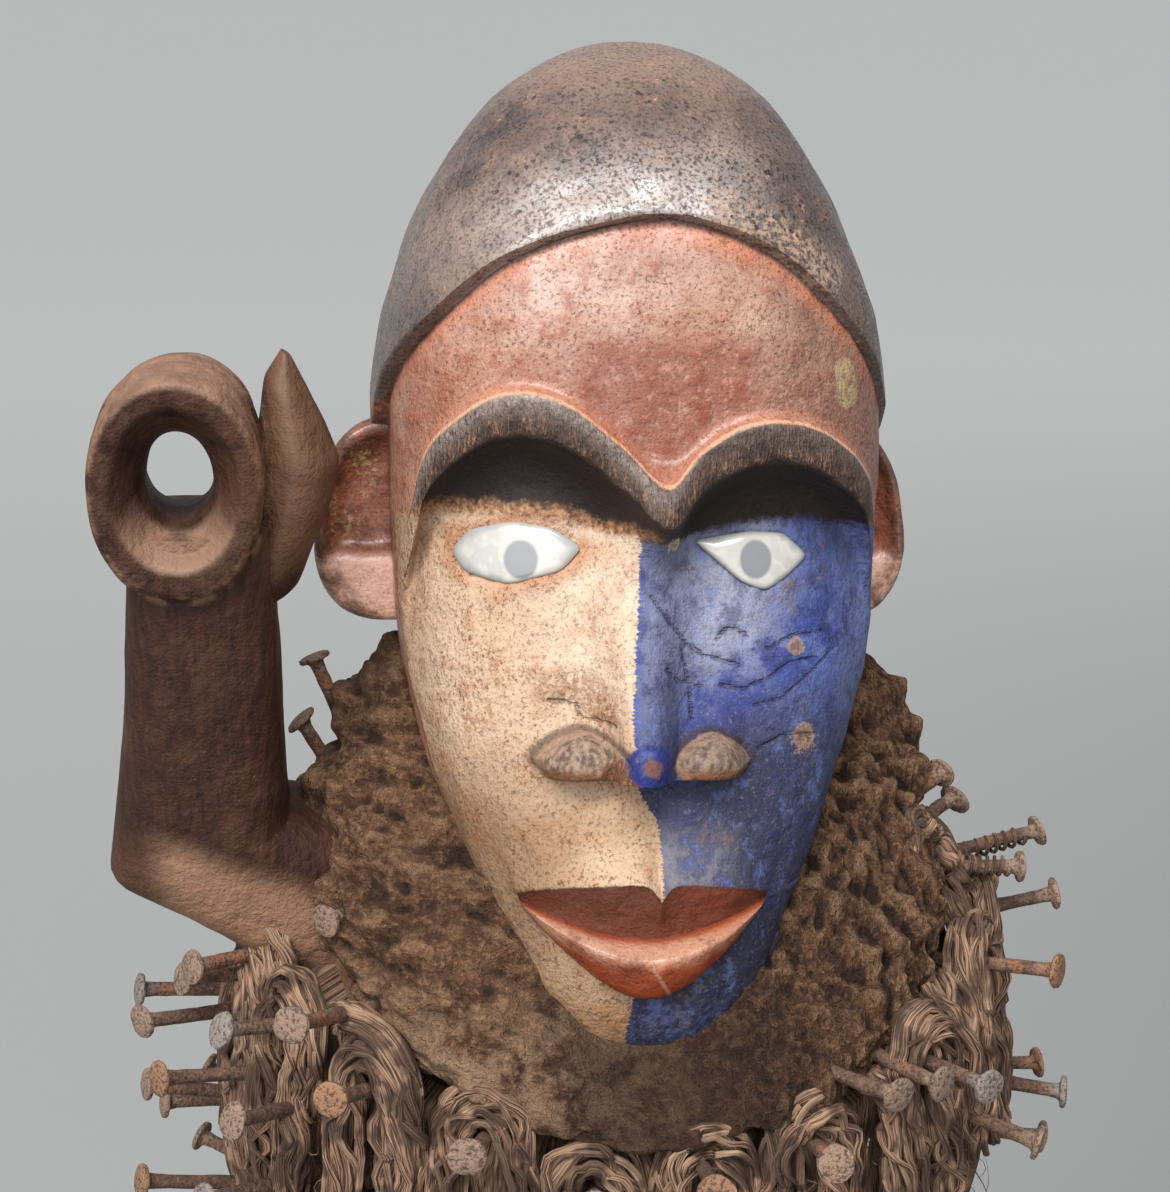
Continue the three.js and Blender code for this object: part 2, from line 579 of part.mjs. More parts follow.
// The other nails: angle round the trunk, height, turn to the side, lift, and how far they stand out.
const SHOULDER_NAILS = [
  [-95, 642, 12, 8, 50], [-73, 634, 10, 16, 50], [-92, 614, 16, 12, 50], [-58, 618, 6, 12, 50],
  [-86, 590, 14, 12, 54], [52, 640, 4, -4, 41], [70, 634, 4, -4, 42], [89, 620, 0, -2, 42], [98, 676, 0, 12, 44],
];
const LOWER_NAILS = { rows: [566, 500, 434], perRow: 3, stagger: 46 };
function nailPlaces() {
  const lower = LOWER_NAILS.rows.flatMap((z, row) =>
    Array.from({ length: LOWER_NAILS.perRow }, (_, i) => {
      const angle = (360 * i) / LOWER_NAILS.perRow + 10 + row * LOWER_NAILS.stagger;
      const [turn, lift] = [8 * Math.sin(3 * i + 2 * row), 6 + 6 * Math.sin(7 * i + row)];
      return [angle, z + 6 * Math.sin(5 * i + row), turn, lift, NAIL_OUT];
    }),
  );
  const holding = LOOPS.map((loop) => [...loop.slice(0, 4), LOOP_NAIL_OUT]);
  return [...holding, ...SHOULDER_NAILS, ...lower];
}
function nailShape(inside, outside, radius, headRadius, sides) {
  const profile = [[0, -inside], [radius, -inside], [radius, outside]];
  if (headRadius > radius) profile.push([headRadius, outside + NAIL_HEAD_THICKNESS / 2]);
  profile.push([0, outside + (headRadius > radius ? NAIL_HEAD_THICKNESS : 0)]);
  return new THREE.LatheGeometry(profile.map((p) => new THREE.Vector2(...p)), sides);
}
function placedNail([degrees, z, turn, lift, out], name) {
  const shape = nailShape(NAIL_IN, out, NAIL_RADIUS, NAIL_HEAD_RADIUS, NAIL_SIDES);
  const nail = new THREE.Mesh(shape, iron);
  nail.name = name;
  nail.position.copy(onTrunk(radians(degrees), z, 0));
  const heading = radians(degrees + turn);
  const direction = new THREE.Vector3(Math.sin(heading), -Math.cos(heading), Math.tan(radians(lift)));
  nail.quaternion.setFromUnitVectors(new THREE.Vector3(0, 1, 0), direction.normalize());
  nail.updateMatrixWorld();
  return nail;
}
// A square hole that clears the nail.
function nailHole(nail) {
  const radius = (NAIL_RADIUS + GAP) * Math.SQRT2;
  return solid(nailShape(NAIL_IN + GAP, NAIL_OUT - 8, radius, 0, 4).applyMatrix4(nail.matrixWorld));
}

const wood = new THREE.MeshStandardMaterial({ color: 0x4a3026, roughness: 0.5, metalness: 0 });
const cake = new THREE.MeshStandardMaterial({ color: 0x5b4433, roughness: 0.95, metalness: 0 });
const fibre = new THREE.MeshStandardMaterial({ color: 0x4f3f33, roughness: 0.9, metalness: 0 });
const glass = new THREE.MeshStandardMaterial({ color: 0xd8d8cf, roughness: 0.15, metalness: 0 });
const iron = new THREE.MeshStandardMaterial({ color: 0x5a4436, roughness: 0.7, metalness: 0.4 });

const sculpture = new THREE.Group();
function addPiece(name, made, material) {
  const piece = new THREE.Mesh(geometryOf(made), material);
  piece.name = name;
  sculpture.add(piece);
}

const numbered = (name, i) => `${name}_${String(i + 1).padStart(2, "0")}`;
const { union } = wasm.Manifold;
const nails = nailPlaces().map((place, i) => placedNail(place, numbered("nail", i)));
const holes = union(nails.map(nailHole));
const pockets = union(Object.values(EYES).map((e) => solid(eye(e, GAP))));
const armSpace = union([LOWERED_ARM, FOREARM].map((arm) => solid(limb(arm, 2.4, 12, ARM_CLEARANCE))));
const woodSpace = figure(GAP).simplify(SLIVER);
const wrapSpace = solid(wrapping(GAP));
const collarSpace = solid(collar(GAP));

addPiece("figure", figure().subtract(union([holes, pockets])), wood);
Object.entries(EYES).forEach(([name, e]) => addPiece(name, solid(eye(e, 0)), glass));
addPiece("fibre_wrapping", solid(wrapping(0)).subtract(union([woodSpace, holes, armSpace])), fibre);
addPiece("collar", solid(collar(0)).subtract(union([woodSpace, holes, wrapSpace])), cake);
LOOPS.forEach((loop, i) => {
  const others = union([woodSpace, holes, wrapSpace, collarSpace]);
  addPiece(numbered("hank", i), solid(loopedHank(loop)).subtract(others), fibre);
});
nails.forEach((nail) => sculpture.add(nail));

export default sculpture;
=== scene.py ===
# %% [markdown]
# # A nail figure with a face half cream and half blue
#
# The object is a carved wooden figure with a domed cap, a raised arm with a pierced fist, a collar of
# caked earth, looped hanks of plant fibre and many iron nails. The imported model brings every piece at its
# real size. This lesson builds the looks around it, piece by piece: each surface is worked out with numpy
# in millimetres and put into a mesh in metres.

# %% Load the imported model
import math
from typing import NamedTuple

import bpy
import numpy as np
from mathutils import Matrix


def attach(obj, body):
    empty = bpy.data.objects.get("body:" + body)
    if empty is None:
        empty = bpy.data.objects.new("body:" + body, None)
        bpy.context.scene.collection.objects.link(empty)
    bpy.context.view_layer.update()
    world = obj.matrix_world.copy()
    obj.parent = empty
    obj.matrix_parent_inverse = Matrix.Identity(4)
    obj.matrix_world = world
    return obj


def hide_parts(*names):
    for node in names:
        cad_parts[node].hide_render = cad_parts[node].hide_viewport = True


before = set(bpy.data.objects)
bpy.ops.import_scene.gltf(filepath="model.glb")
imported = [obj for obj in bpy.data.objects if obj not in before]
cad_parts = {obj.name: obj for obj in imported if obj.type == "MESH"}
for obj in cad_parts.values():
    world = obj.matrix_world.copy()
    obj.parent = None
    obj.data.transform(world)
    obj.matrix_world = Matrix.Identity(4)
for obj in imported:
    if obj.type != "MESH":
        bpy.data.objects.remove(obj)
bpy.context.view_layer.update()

# %% [markdown]
# ## The camera
#
# The camera stands a little to the left of the face and looks down on it by twenty degrees. Its focal
# length is known in pixels of the picture, so the lens follows from the sensor's height. The picture
# leans a little, which is a turn round the line of sight.

# %% Place the camera
IMAGE_HEIGHT = 1192
FOCAL_PIXELS = 2152
SENSOR_HEIGHT = 36
CAMERA_PLACE = (-80.2, -528.8, 966.9)
CAMERA_AZIMUTH, CAMERA_ELEVATION, CAMERA_ROLL = map(math.radians, (-7, 20, 2.2))
MM = 0.001


def camera_axes(azimuth, elevation, roll):
    """Right, up and back of a camera that looks at the origin, turned by roll round its line of sight."""
    flat = math.cos(elevation)
    back = np.array([math.sin(azimuth) * flat, -math.cos(azimuth) * flat, math.sin(elevation)])
    right = np.cross([0, 0, 1], back)
    right /= np.linalg.norm(right)
    up = np.cross(back, right)
    turned = right * math.cos(roll) + up * math.sin(roll)
    return turned, np.cross(back, turned), back


camera = bpy.data.objects.new("camera", bpy.data.cameras.new("camera"))
camera.data.sensor_fit = "VERTICAL"
camera.data.sensor_height = SENSOR_HEIGHT
camera.data.lens = FOCAL_PIXELS / IMAGE_HEIGHT * SENSOR_HEIGHT
camera.data.clip_end = 100
turn = np.eye(4)
turn[:3, :3] = np.transpose(camera_axes(CAMERA_AZIMUTH, CAMERA_ELEVATION, CAMERA_ROLL))
turn[:3, 3] = np.multiply(CAMERA_PLACE, MM)
camera.matrix_world = Matrix(turn.tolist())
bpy.context.scene.collection.objects.link(camera)
bpy.context.scene.camera = camera
print("lens:", round(camera.data.lens, 1), "mm")

# %% [markdown]
# ## Helpers for shapes
#
# Every carved form here is a function of two parameters on a grid. `curve` gives a smooth line through a
# few knots, `noise` gives soft irregularity that is the same on every run, and `tubes` turns rings of
# points into closed surfaces. They work on whole arrays, which is quick even for a hundred thousand points.


# %% Curves and noise
def curve(knots):
    """A smooth function through (place, value) knots: cubic pieces whose slopes are central differences."""
    place, value = np.array(knots, float).T
    inner = (value[2:] - value[:-2]) / (place[2:] - place[:-2])
    first, last = ((value[i + 1] - value[i]) / (place[i + 1] - place[i]) for i in (0, -2))
    slope = np.concatenate([[first], inner, [last]])

    def at(x):
        x = np.clip(x, place[0], place[-1])
        i = np.clip(np.searchsorted(place, x, side="right") - 1, 0, len(place) - 2)
        h = place[i + 1] - place[i]
        t = (x - place[i]) / h
        ends = value[i] * (1 + 2 * t) * (1 - t) ** 2 + value[i + 1] * t * t * (3 - 2 * t)
        return ends + h * t * (1 - t) * (slope[i] * (1 - t) - slope[i + 1] * t)

    return at


def smoothstep(x, low, high):
    """0 below low, 1 above high, and 3t^2 - 2t^3 between them."""
    t = np.clip((x - low) / (high - low), 0, 1)
    return t * t * (3 - 2 * t)


def noise(points, size, seed=0):
    """Bumps from -1 to 1, about size apart: hashed values at the corners of a lattice, blended between."""
    scaled = np.asarray(points, float) / size
    cell = np.floor(scaled).astype(np.int64)
    t = scaled - cell
    t = t * t * (3 - 2 * t)
    total = np.zeros(scaled.shape[:-1])
    for corner in np.ndindex(2, 2, 2):
        x, y, z = np.moveaxis(cell + np.array(corner), -1, 0)
        mixed = (x * 73856093) ^ (y * 19349663) ^ (z * 83492791) ^ (seed * 49979687)
        mixed = (mixed ^ (mixed >> 13)) * 1274126177 & 0xFFFFFFFF
        value = ((mixed >> 9) & 0xFFFF) / 32767.5 - 1
        total += value * np.prod(np.where(corner, t, 1 - t), axis=-1)
    return total


def rough(points, size, octaves=3, seed=0):
    """A sum of noises, each half as large and half as high as the one before it."""
    return sum(noise(points, size / 2**k, seed + k) / 2**k for k in range(octaves))


def rounded_radius(angle, power):
    """Radius of a unit superellipse, |x|^power + |y|^power = 1, in the direction of an angle."""
    return (np.abs(np.sin(angle)) ** power + np.abs(np.cos(angle)) ** power) ** (-1 / power)


def outline(corners, count, rounding):
    """A closed line through corners in even steps, each averaged with its neighbours rounding times."""
    closed = np.array([*corners, corners[0]], float)
    along = np.concatenate([[0], np.cumsum(np.linalg.norm(np.diff(closed, axis=0), axis=1))])
    even = np.linspace(0, along[-1], count, endpoint=False)
    line = np.stack([np.interp(even, along, closed[:, axis]) for axis in range(closed.shape[1])], axis=1)
    for _ in range(rounding):
        line = (np.roll(line, 1, axis=0) + 2 * line + np.roll(line, -1, axis=0)) / 4
    return line


# %% Closed surfaces
class Surface(NamedTuple):
    """Points in millimetres with four-sided and three-sided faces."""

    points: np.ndarray
    quads: np.ndarray
    triangles: np.ndarray


def inward(points, quads, triangles):
    """Whether faces point in: the sum of a . (b x c) over all triangles is six times the volume inside."""
    thirds = np.concatenate([quads[:, [0, 1, 2]], quads[:, [0, 2, 3]], triangles])
    a, b, c = (points[thirds[:, i]] for i in range(3))
    return np.sum(np.cross(b, c) * a) < 0


def tubes(rings, ring_shaped=False):
    """Closed surfaces from rings[body, row, column, xyz], closed in the middle of the end rings.

    If ring_shaped, the last ring meets the first instead.
    """
    bodies, rows, columns = rings.shape[:3]
    steps = rows if ring_shaped else rows - 1
    row, column = np.mgrid[:steps, :columns]
    above, beside = (row + 1) % rows, (column + 1) % columns
    corners = [(row, column), (row, beside), (above, beside), (above, column)]
    quads = np.stack([r * columns + c for r, c in corners], axis=-1).reshape(-1, 4)
    points = rings.reshape(bodies, -1, 3)
    triangles = np.zeros((0, 3), int)
    if not ring_shaped:
        points = np.concatenate([points, rings[:, [0, -1]].mean(axis=2)], axis=1)
        here, there = np.arange(columns), (np.arange(columns) + 1) % columns
        last = (rows - 1) * columns
        low = np.stack([there, here, np.full(columns, rows * columns)], axis=1)
        high = np.stack([last + here, last + there, np.full(columns, rows * columns + 1)], axis=1)
        triangles = np.concatenate([low, high])
    if inward(points[0] - points[0].mean(axis=0), quads, triangles):
        quads, triangles = quads[:, ::-1], triangles[:, ::-1]
    offsets = np.arange(bodies)[:, None, None] * points.shape[1]
    return Surface(
        points.reshape(-1, 3), (quads + offsets).reshape(-1, 4), (triangles + offsets).reshape(-1, 3)
    )


def joined(surfaces):
    """Several surfaces as one, their faces renumbered."""
    starts = np.cumsum([0] + [len(s.points) for s in surfaces[:-1]])
    return Surface(
        np.concatenate([s.points for s in surfaces]),
        np.concatenate([s.quads + n for s, n in zip(surfaces, starts)]),
        np.concatenate([s.triangles + n for s, n in zip(surfaces, starts)]),
    )


def normals_of(grid):
    """Unit normals of a grid of points whose columns close: the cross product of its two differences."""
    along = np.gradient(grid, axis=-3)
    around = np.roll(grid, -1, axis=-2) - np.roll(grid, 1, axis=-2)
    normal = np.cross(around, along)
    return normal / np.maximum(np.linalg.norm(normal, axis=-1, keepdims=True), 1e-9)


# %% Meshes and pieces
SHARP_ANGLE = math.radians(50)


def mesh_object(name, surface):
    """A Blender object with its place in its mesh, smooth except along edges sharper than SHARP_ANGLE."""
    mesh = bpy.data.meshes.new(name)
    faces = surface.quads.tolist() + surface.triangles.tolist()
    mesh.from_pydata((surface.points * MM).tolist(), [], faces)
    mesh.shade_smooth()
    mesh.set_sharp_from_angle(angle=SHARP_ANGLE)
    made = bpy.data.objects.new(name, mesh)
    bpy.context.scene.collection.objects.link(made)
    return made


def finish_piece(made, material, slot, *replaced):
    """Gives a piece its material, lets it ride on the body and hides the imported parts that it stands for.
    """
    made.data.materials.clear()
    made.data.materials.append(material)
    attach(made, "root")
    if replaced:
        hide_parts(*replaced)
    corners = np.zeros(len(made.data.polygons), np.int32)
    made.data.polygons.foreach_get("loop_total", corners)
    print(f"{made.name}: {len(made.data.vertices)} points, {(corners - 2).sum()} triangles")
    return made


def points_of(mesh):
    """The places of a mesh's points, in millimetres."""
    places = np.zeros(len(mesh.vertices) * 3, np.float32)
    mesh.vertices.foreach_get("co", places)
    return places.reshape(-1, 3) / MM


def set_attribute(mesh, name, values):
    """A number for each point of a mesh, which a material can read by name."""
    attribute = mesh.attributes.new(name, "FLOAT", "POINT")
    attribute.data.foreach_set("value", np.asarray(values, np.float32))


# %% [markdown]
# ## A small language for finishes
#
# A finish is a web of shader nodes. Wiring it by hand hides the idea, so `Wire` wraps one socket and lets
# Python's own signs add the Math nodes, and `Finish.node` adds any other node from its type, its
# settings and its inputs. A finish then reads as sums: this much dirt, where that mask is high.


# %% Wire and Finish
class Wire:
    """A value on its way through a finish, usable in sums as a number is."""

    def __init__(self, finish, socket):
        self.finish, self.socket = finish, socket

    def math(self, operation, *values):
        return self.finish.node("ShaderNodeMath", {"operation": operation}, dict(enumerate(values)))

    def __add__(self, other):
        return self.math("ADD", self, other)

    def __sub__(self, other):
        return self.math("SUBTRACT", self, other)

    def __rsub__(self, other):
        return self.math("SUBTRACT", other, self)

    def __mul__(self, other):
        return self.math("MULTIPLY", self, other)

    __radd__, __rmul__ = __add__, __mul__

    def least(self, other):
        return self.math("MINIMUM", self, other)

    def most(self, other):
        return self.math("MAXIMUM", self, other)

    def between(self, low, high):
        """0 at low and 1 at high, with a smooth step from one to the other."""
        values = {"Value": self, "From Min": low, "From Max": high}
        return self.finish.node("ShaderNodeMapRange", {"interpolation_type": "SMOOTHSTEP"}, values)


class Finish:
    """A material made node by node, with millimetres for its places."""

    def __init__(self, name, **constants):
        self.material = bpy.data.materials.new(name)
        self.material.use_nodes = True
        self.tree = self.material.node_tree
        self.shader = self.tree.nodes["Principled BSDF"]
        for socket, value in constants.items():
            self.shader.inputs[socket.replace("_", " ")].default_value = value

    def node(self, kind, settings=None, inputs=None, output=0):
        """Adds a node of a kind, sets its settings, then its inputs, and gives one of its outputs."""
        made = self.tree.nodes.new(kind)
        for name, value in (settings or {}).items():
            setattr(made, name, value)
        for name, value in (inputs or {}).items():
            self.feed(made.inputs[name], value)
        return Wire(self, made.outputs[output])

    def feed(self, socket, value):
        """Links a wire to a socket, or sets the socket to a plain value."""
        if isinstance(value, Wire):
            self.tree.links.new(value.socket, socket)
        else:
            socket.default_value = value

    def place(self, start=(0, 0, 0), pitch=0):
        """Places on the piece in millimetres from start, turned back by a pitch round X."""
        inputs = {
            "Vector": self.node("ShaderNodeTexCoord", output="Object"),
            "Location": [value * MM for value in start],
            "Rotation": (pitch, 0, 0),
            "Scale": (MM, MM, MM),
        }
        return self.node("ShaderNodeMapping", {"vector_type": "TEXTURE"}, inputs)

    def noise(self, place, size, detail=2.0, roughness=0.5):
        inputs = {"Vector": place, "Scale": 1 / size, "Detail": detail, "Roughness": roughness}
        return self.node("ShaderNodeTexNoise", {}, inputs)

    def noise_vector(self, place, size, reach):
        """A sideways push of up to about half of reach millimetres in each direction."""
        inputs = {"Vector": place, "Scale": 1 / size, "Detail": 2.0}
        tint = self.node("ShaderNodeTexNoise", {}, inputs, output="Color")
        centred = self.vector("SUBTRACT", tint, (0.5, 0.5, 0.5))
        return self.vector("MULTIPLY", centred, (reach, reach, reach))

    def vector(self, operation, first, second, output=0):
        """One step of arithmetic on two vectors."""
        return self.node("ShaderNodeVectorMath", {"operation": operation}, {0: first, 1: second}, output)

    def stretched(self, place, x, y, z):
        """A place with each direction multiplied: a small number draws a pattern out in that direction."""
        return self.vector("MULTIPLY", place, (x, y, z))

    def axis(self, place, name):
        return self.node("ShaderNodeSeparateXYZ", {}, {0: place}, output=name)

    def attribute(self, name):
        return self.node("ShaderNodeAttribute", {"attribute_name": name}, output="Fac")

    def blend(self, factor, first, second, kind="MIX"):
        """The first colour where factor is 0 and the second where it is 1."""
        settings = {"data_type": "RGBA", "blend_type": kind}
        return self.node("ShaderNodeMix", settings, {0: factor, 6: first, 7: second}, output=2)

    def bump(self, height, distance, normal=None):
        """A normal that leans with a height from 0 to 1 which stands for distance millimetres."""
        inputs = {"Height": height, "Distance": distance * MM}
        if normal:
            inputs["Normal"] = normal
        return self.node("ShaderNodeBump", {}, inputs)

    def coat(self, **sockets):
        """Feeds the shader's own sockets, and drops the nodes that lead nowhere."""
        for name, value in sockets.items():
            self.feed(self.shader.inputs[name.replace("_", " ")], value)
        for node in list(self.tree.nodes):
            if node.outputs and not any(output.is_linked for output in node.outputs):
                self.tree.nodes.remove(node)
        return self.material


def colour(red, green, blue):
    """A colour given as on a screen, from 0 to 255, as the linear values that light is reckoned in."""
    share = np.array([red, green, blue]) / 255
    linear = np.where(share <= 0.04045, share / 12.92, ((share + 0.055) / 1.055) ** 2.4)
    return (*linear.tolist(), 1.0)


# %% [markdown]
# ## Floor and light
#
# A pale floor runs far enough back to fill the picture behind the head. Its colour is painted light and
# shade: darker near the camera and towards the right, paler far off, which evens out the lamps' falloff and
# gives the backdrop its gradient. The light comes from above and a little in front: a wide strip like a
# bank of softboxes, whose reflection lies as a long sheen on the front of the cap. An even glow from the
# world and a weak, very wide sun fill the shadows and light the far floor, which the strip doesn't reach.

# %% Lay the floor
FLOOR_SIZE = 60  # metres
floor_corners = np.array([[-1, -1, 0], [1, -1, 0], [1, 1, 0], [-1, 1, 0]]) * FLOOR_SIZE / 2 / MM
floor = mesh_object("floor", Surface(floor_corners, np.array([[0, 1, 2, 3]]), np.zeros((0, 3), int)))
floor_finish = Finish("pale_floor", Roughness=0.9, Specular_IOR_Level=0.1)
floor_x, floor_y = (floor_finish.axis(floor_finish.place(), axis) for axis in "XY")
# Painted light and shade: the floor is darker near the camera and to the right, and paler far off.
near_tone = floor_finish.blend(floor_x.between(-500, 1200), colour(163, 165, 163), colour(140, 142, 140))
floor_tone = floor_finish.blend(floor_y.between(200, 3600), near_tone, colour(201, 201, 199))
floor.data.materials.append(floor_finish.coat(Base_Color=floor_tone))


# %% Light the scene
def aim(lamp_object, place, direction):
    """Puts a lamp at a place, in metres, with its light coming from a direction."""
    back = np.array(direction, float) / np.linalg.norm(direction)
    right = np.cross([0, 1, 0], back)
    right /= np.linalg.norm(right)
    turn = np.eye(4)
    turn[:3, :3] = np.transpose([right, np.cross(back, right), back])
    turn[:3, 3] = place
    lamp_object.matrix_world = Matrix(turn.tolist())
    bpy.context.scene.collection.objects.link(lamp_object)


strip = bpy.data.lights.new("strip", "AREA")
strip.shape = "RECTANGLE"
strip.size, strip.size_y = 1.4, 0.44
strip.energy = 27
aim(bpy.data.objects.new("strip", strip), (-0.3, -0.62, 2.0), (-0.26, -0.52, 1.15))

fill = bpy.data.lights.new("fill", "SUN")
fill.energy = 2.0
fill.angle = math.radians(60)
aim(bpy.data.objects.new("fill", fill), (0, 0, 3), (-0.5, -0.95, 0.62))

world = bpy.data.worlds.new("studio")
world.use_nodes = True
world.node_tree.nodes["Background"].inputs["Color"].default_value = colour(236, 239, 243)
world.node_tree.nodes["Background"].inputs["Strength"].default_value = 0.6
bpy.context.scene.world = world
bpy.context.scene.view_settings.view_transform = "Standard"

# %% [markdown]
# ## The head's outline
#
# The head is an egg cut from a log: rounded sections stacked from the chin to the crown, squarer at the
# face than at the skull. Its height runs along an arc, so the rows of points also stay even at both
# poles. All head sizes are in a frame of its own, in front view: x to the side, z up from the chin. The
# whole head then leans back, because the face looks up a little.

# %% Sections of the head
HEAD_BOTTOM, HEAD_TOP = -5, 261
HEAD_PITCH = math.radians(14)
HEAD_HEIGHT_OFF_GROUND = 657
FACE_SQUARENESS, SKULL_SQUARENESS = 2.7, 2.1
HEAD_STATIONS = [  # height, half width, front, back, and how far the section stands to the figure's left
    (HEAD_BOTTOM, 0, -40, -40, 0), (-2, 15, -52, -26, 0), (4, 24, -56, -16, 0), (14, 31, -58, -6, 0),
    (28, 38, -58, 8, 0), (48, 48, -57, 30, 0), (67, 56.5, -56, 50, 0.5), (97, 64.5, -54, 72, 1.5),
    (122, 66.5, -52, 82, 1.5), (150, 67.5, -54, 88, 1.5), (170, 67, -55, 89, 1.2), (191, 63, -54, 85, 0.6),
    (218, 53, -45, 74, 0), (234, 43.5, -35, 62, 0), (246, 34, -24, 49, 0), (256, 20, -8, 31, 0),
    (HEAD_TOP, 0, 10, 10, 0),
]


def pole_angle(z):
    """Place along the head as an angle: its cosine falls evenly from the chin to the crown."""
    return np.arccos(np.clip(1 - 2 * (z - HEAD_BOTTOM) / (HEAD_TOP - HEAD_BOTTOM), -1, 1))


def height_at(angle):
    """The height that belongs to a pole angle: bottom + span * (1 - cos) / 2."""
    return HEAD_BOTTOM + (HEAD_TOP - HEAD_BOTTOM) * (1 - np.cos(angle)) / 2


head_half_width, head_front, head_back, head_aside = (
    curve([(pole_angle(station[0]), station[i]) for station in HEAD_STATIONS]) for i in (1, 2, 3, 4)
)


def lean_back(points):
    """From the head's frame to the object's: a turn of HEAD_PITCH round X, then up onto the neck."""
    x, y, z = np.moveaxis(np.asarray(points, float), -1, 0)
    sine, cosine = math.sin(HEAD_PITCH), math.cos(HEAD_PITCH)
    return np.stack([x, y * cosine + z * sine, z * cosine - y * sine + HEAD_HEIGHT_OFF_GROUND], axis=-1)


def lean_forward(points):
    """From the object's frame back to the head's."""
    x, y, z = np.moveaxis(np.asarray(points, float), -1, 0)
    z = z - HEAD_HEIGHT_OFF_GROUND
    sine, cosine = math.sin(HEAD_PITCH), math.cos(HEAD_PITCH)
    return np.stack([x, y * cosine - z * sine, z * cosine + y * sine], axis=-1)


def degrees_at(x, z):
    """The angle from the front, in degrees, at which a section of the face reaches x."""
    along = pole_angle(z)
    aside = x - head_aside(along)
    share = np.clip(np.abs(aside) / np.maximum(head_half_width(along), 1e-6), 0, 0.9999)
    forward = (1 - share**FACE_SQUARENESS) ** (1 / FACE_SQUARENESS)
    return np.sign(aside) * np.degrees(np.arctan2(share, forward))


# %% [markdown]
# ## The lines of the face
#
# A carver sets out lines before cutting: the brows, the rim of the cap, the mouth, the nose. Here each
# line is a curve round the head by angle from the front, in degrees. The nose and mouth sit a few
# millimetres to one side of the middle, as they do on the hand-carved face.

# %% Brows, rim, mouth and nose
brow_line = curve([
    (-180, 60), (-130, 72), (-100, 96), (-75, 118), (-61, 134), (-54, 149), (-45, 158), (-34, 165),
    (-22, 163.5), (-9, 152), (0, 142.5), (8, 151.5), (18, 158), (30, 158), (42, 151.5), (51, 144), (59, 135),
    (75, 118), (100, 96), (130, 72), (180, 60),
])
rim_line = curve([
    (-180, 84), (-130, 100), (-100, 134), (-75, 164), (-51, 184), (-34, 199), (-13, 207.5), (6, 209),
    (26, 201.5), (42, 186), (60, 167), (80, 150), (100, 132), (130, 100), (180, 84),
])
middle_line = curve([(0, -3), (40, -3.4), (75, -4.2), (105, -4.6), (130, -2), (143, 0)])
paint_top = curve([
    (-64, 134), (-45, 136.5), (-24, 135), (-8, 131), (2, 130), (14, 132), (34, 135), (64, 132),
])
split_line = curve([
    (0, -7.4), (12, -6), (22, -4), (36, 0.2), (58, 0), (63, -3), (70, -6), (82, -7.6), (97, -6.6), (114, -5),
    (134, -4),
])

MOUTH_MIDDLE, MOUTH_REACH = -4.5, 43.5  # degrees
NOTCH_DEPTH, NOTCH_WIDTH = 4.5, 2.6


def mouth_share(degrees):
    """1 in the middle of the mouth and 0 at its corners, as a cosine."""
    return np.cos(math.pi / 2 * np.clip((degrees - MOUTH_MIDDLE) / MOUTH_REACH, -1, 1))


def parting_line(degrees):
    """Where the lips meet: lowest in the middle."""
    return 37.5 - 7.7 * mouth_share(degrees)


def under_lip_line(degrees):
    """The lower edge of the lower lip, a deep bow."""
    return 37 - 23.2 * mouth_share(degrees) ** 0.8


def upper_lip_line(degrees):
    """The bow of the upper lip, with a pointed notch under the nose."""
    notch = NOTCH_DEPTH * np.exp(-((np.abs(degrees) / NOTCH_WIDTH) ** 1.3))
    return 38.5 + 6 * mouth_share(degrees) ** 0.7 - notch


SHELF, WING_TOP = 69.6, 83  # heights of the nose's flat underside and of its wings' tops
nose_height = curve([(SHELF, 17.5), (73, 19), (77, 18.5), (90, 14.5), (112, 10.5), (134, 9), (150, 0)])
nose_half_width = curve([(SHELF, 8), (80, 8.6), (95, 10), (115, 11), (135, 9), (150, 7)])
WINGS = [(-19.4, 73.8, 11.8, 8.2), (13.8, 73.4, 10.9, 7.8)]  # middle x and z, half width, half height
WING_RELIEF = 9.5

# %% [markdown]
# ## The inlaid eyes
#
# Each eye is an almond cut from a pale plate, no two alike. The outline is a few corners, rounded a
# little. The same outline cuts the shallow pocket in the face, so both come from one function: how far a
# place is from the eye's middle, as a share of the way to its edge.

# %% Eye outlines
EYES = {
    "eye_right": {
        "middle": (-34.2, 125.2),
        "pupil": (0.6, -1.6),
        "corners": [
            (-16.6, -0.4), (-12, 5.4), (-1.8, 8), (8.4, 6.6), (16.2, 1.6), (10.6, -4.6), (2.2, -6.8),
            (-2.4, -8.2), (-13.4, -5.4),
        ],
    },
    "eye_left": {
        "middle": (26.5, 123.5),
        "pupil": (0.4, 0.2),
        "corners": [
            (-15.6, 4.9), (-1.1, 7.3), (8.4, 6.8), (15.6, 0.6), (9, -4.6), (3.2, -8), (-3.4, -5.6),
            (-9.4, -0.4),
        ],
    },
}
EYE_POINTS = 72
for eye in EYES.values():
    eye["outline"] = outline(eye["corners"], EYE_POINTS, 4)


def share_of_eye(x, z, eye):
    """Distance from the eye's middle as a share of its outline's radius in that direction."""
    angle = np.arctan2(eye["outline"][:, 1], eye["outline"][:, 0])
    order = np.argsort(angle)
    radius = np.hypot(*eye["outline"].T)
    dx, dz = x - eye["middle"][0], z - eye["middle"][1]
    edge = np.interp(np.arctan2(dz, dx), angle[order], radius[order], period=2 * math.pi)
    return np.hypot(dx, dz) / edge


# %% [markdown]
# ## The relief of the face
#
# The relief says how far the carved face stands forward of the plain egg at a place: the brows with
# their deep shadow below, the wedge of the nose with its leaf-shaped wings, the muzzle and the lips, and
# a few cuts and creases. It is a sum of simple forms, so each can be judged and changed alone.

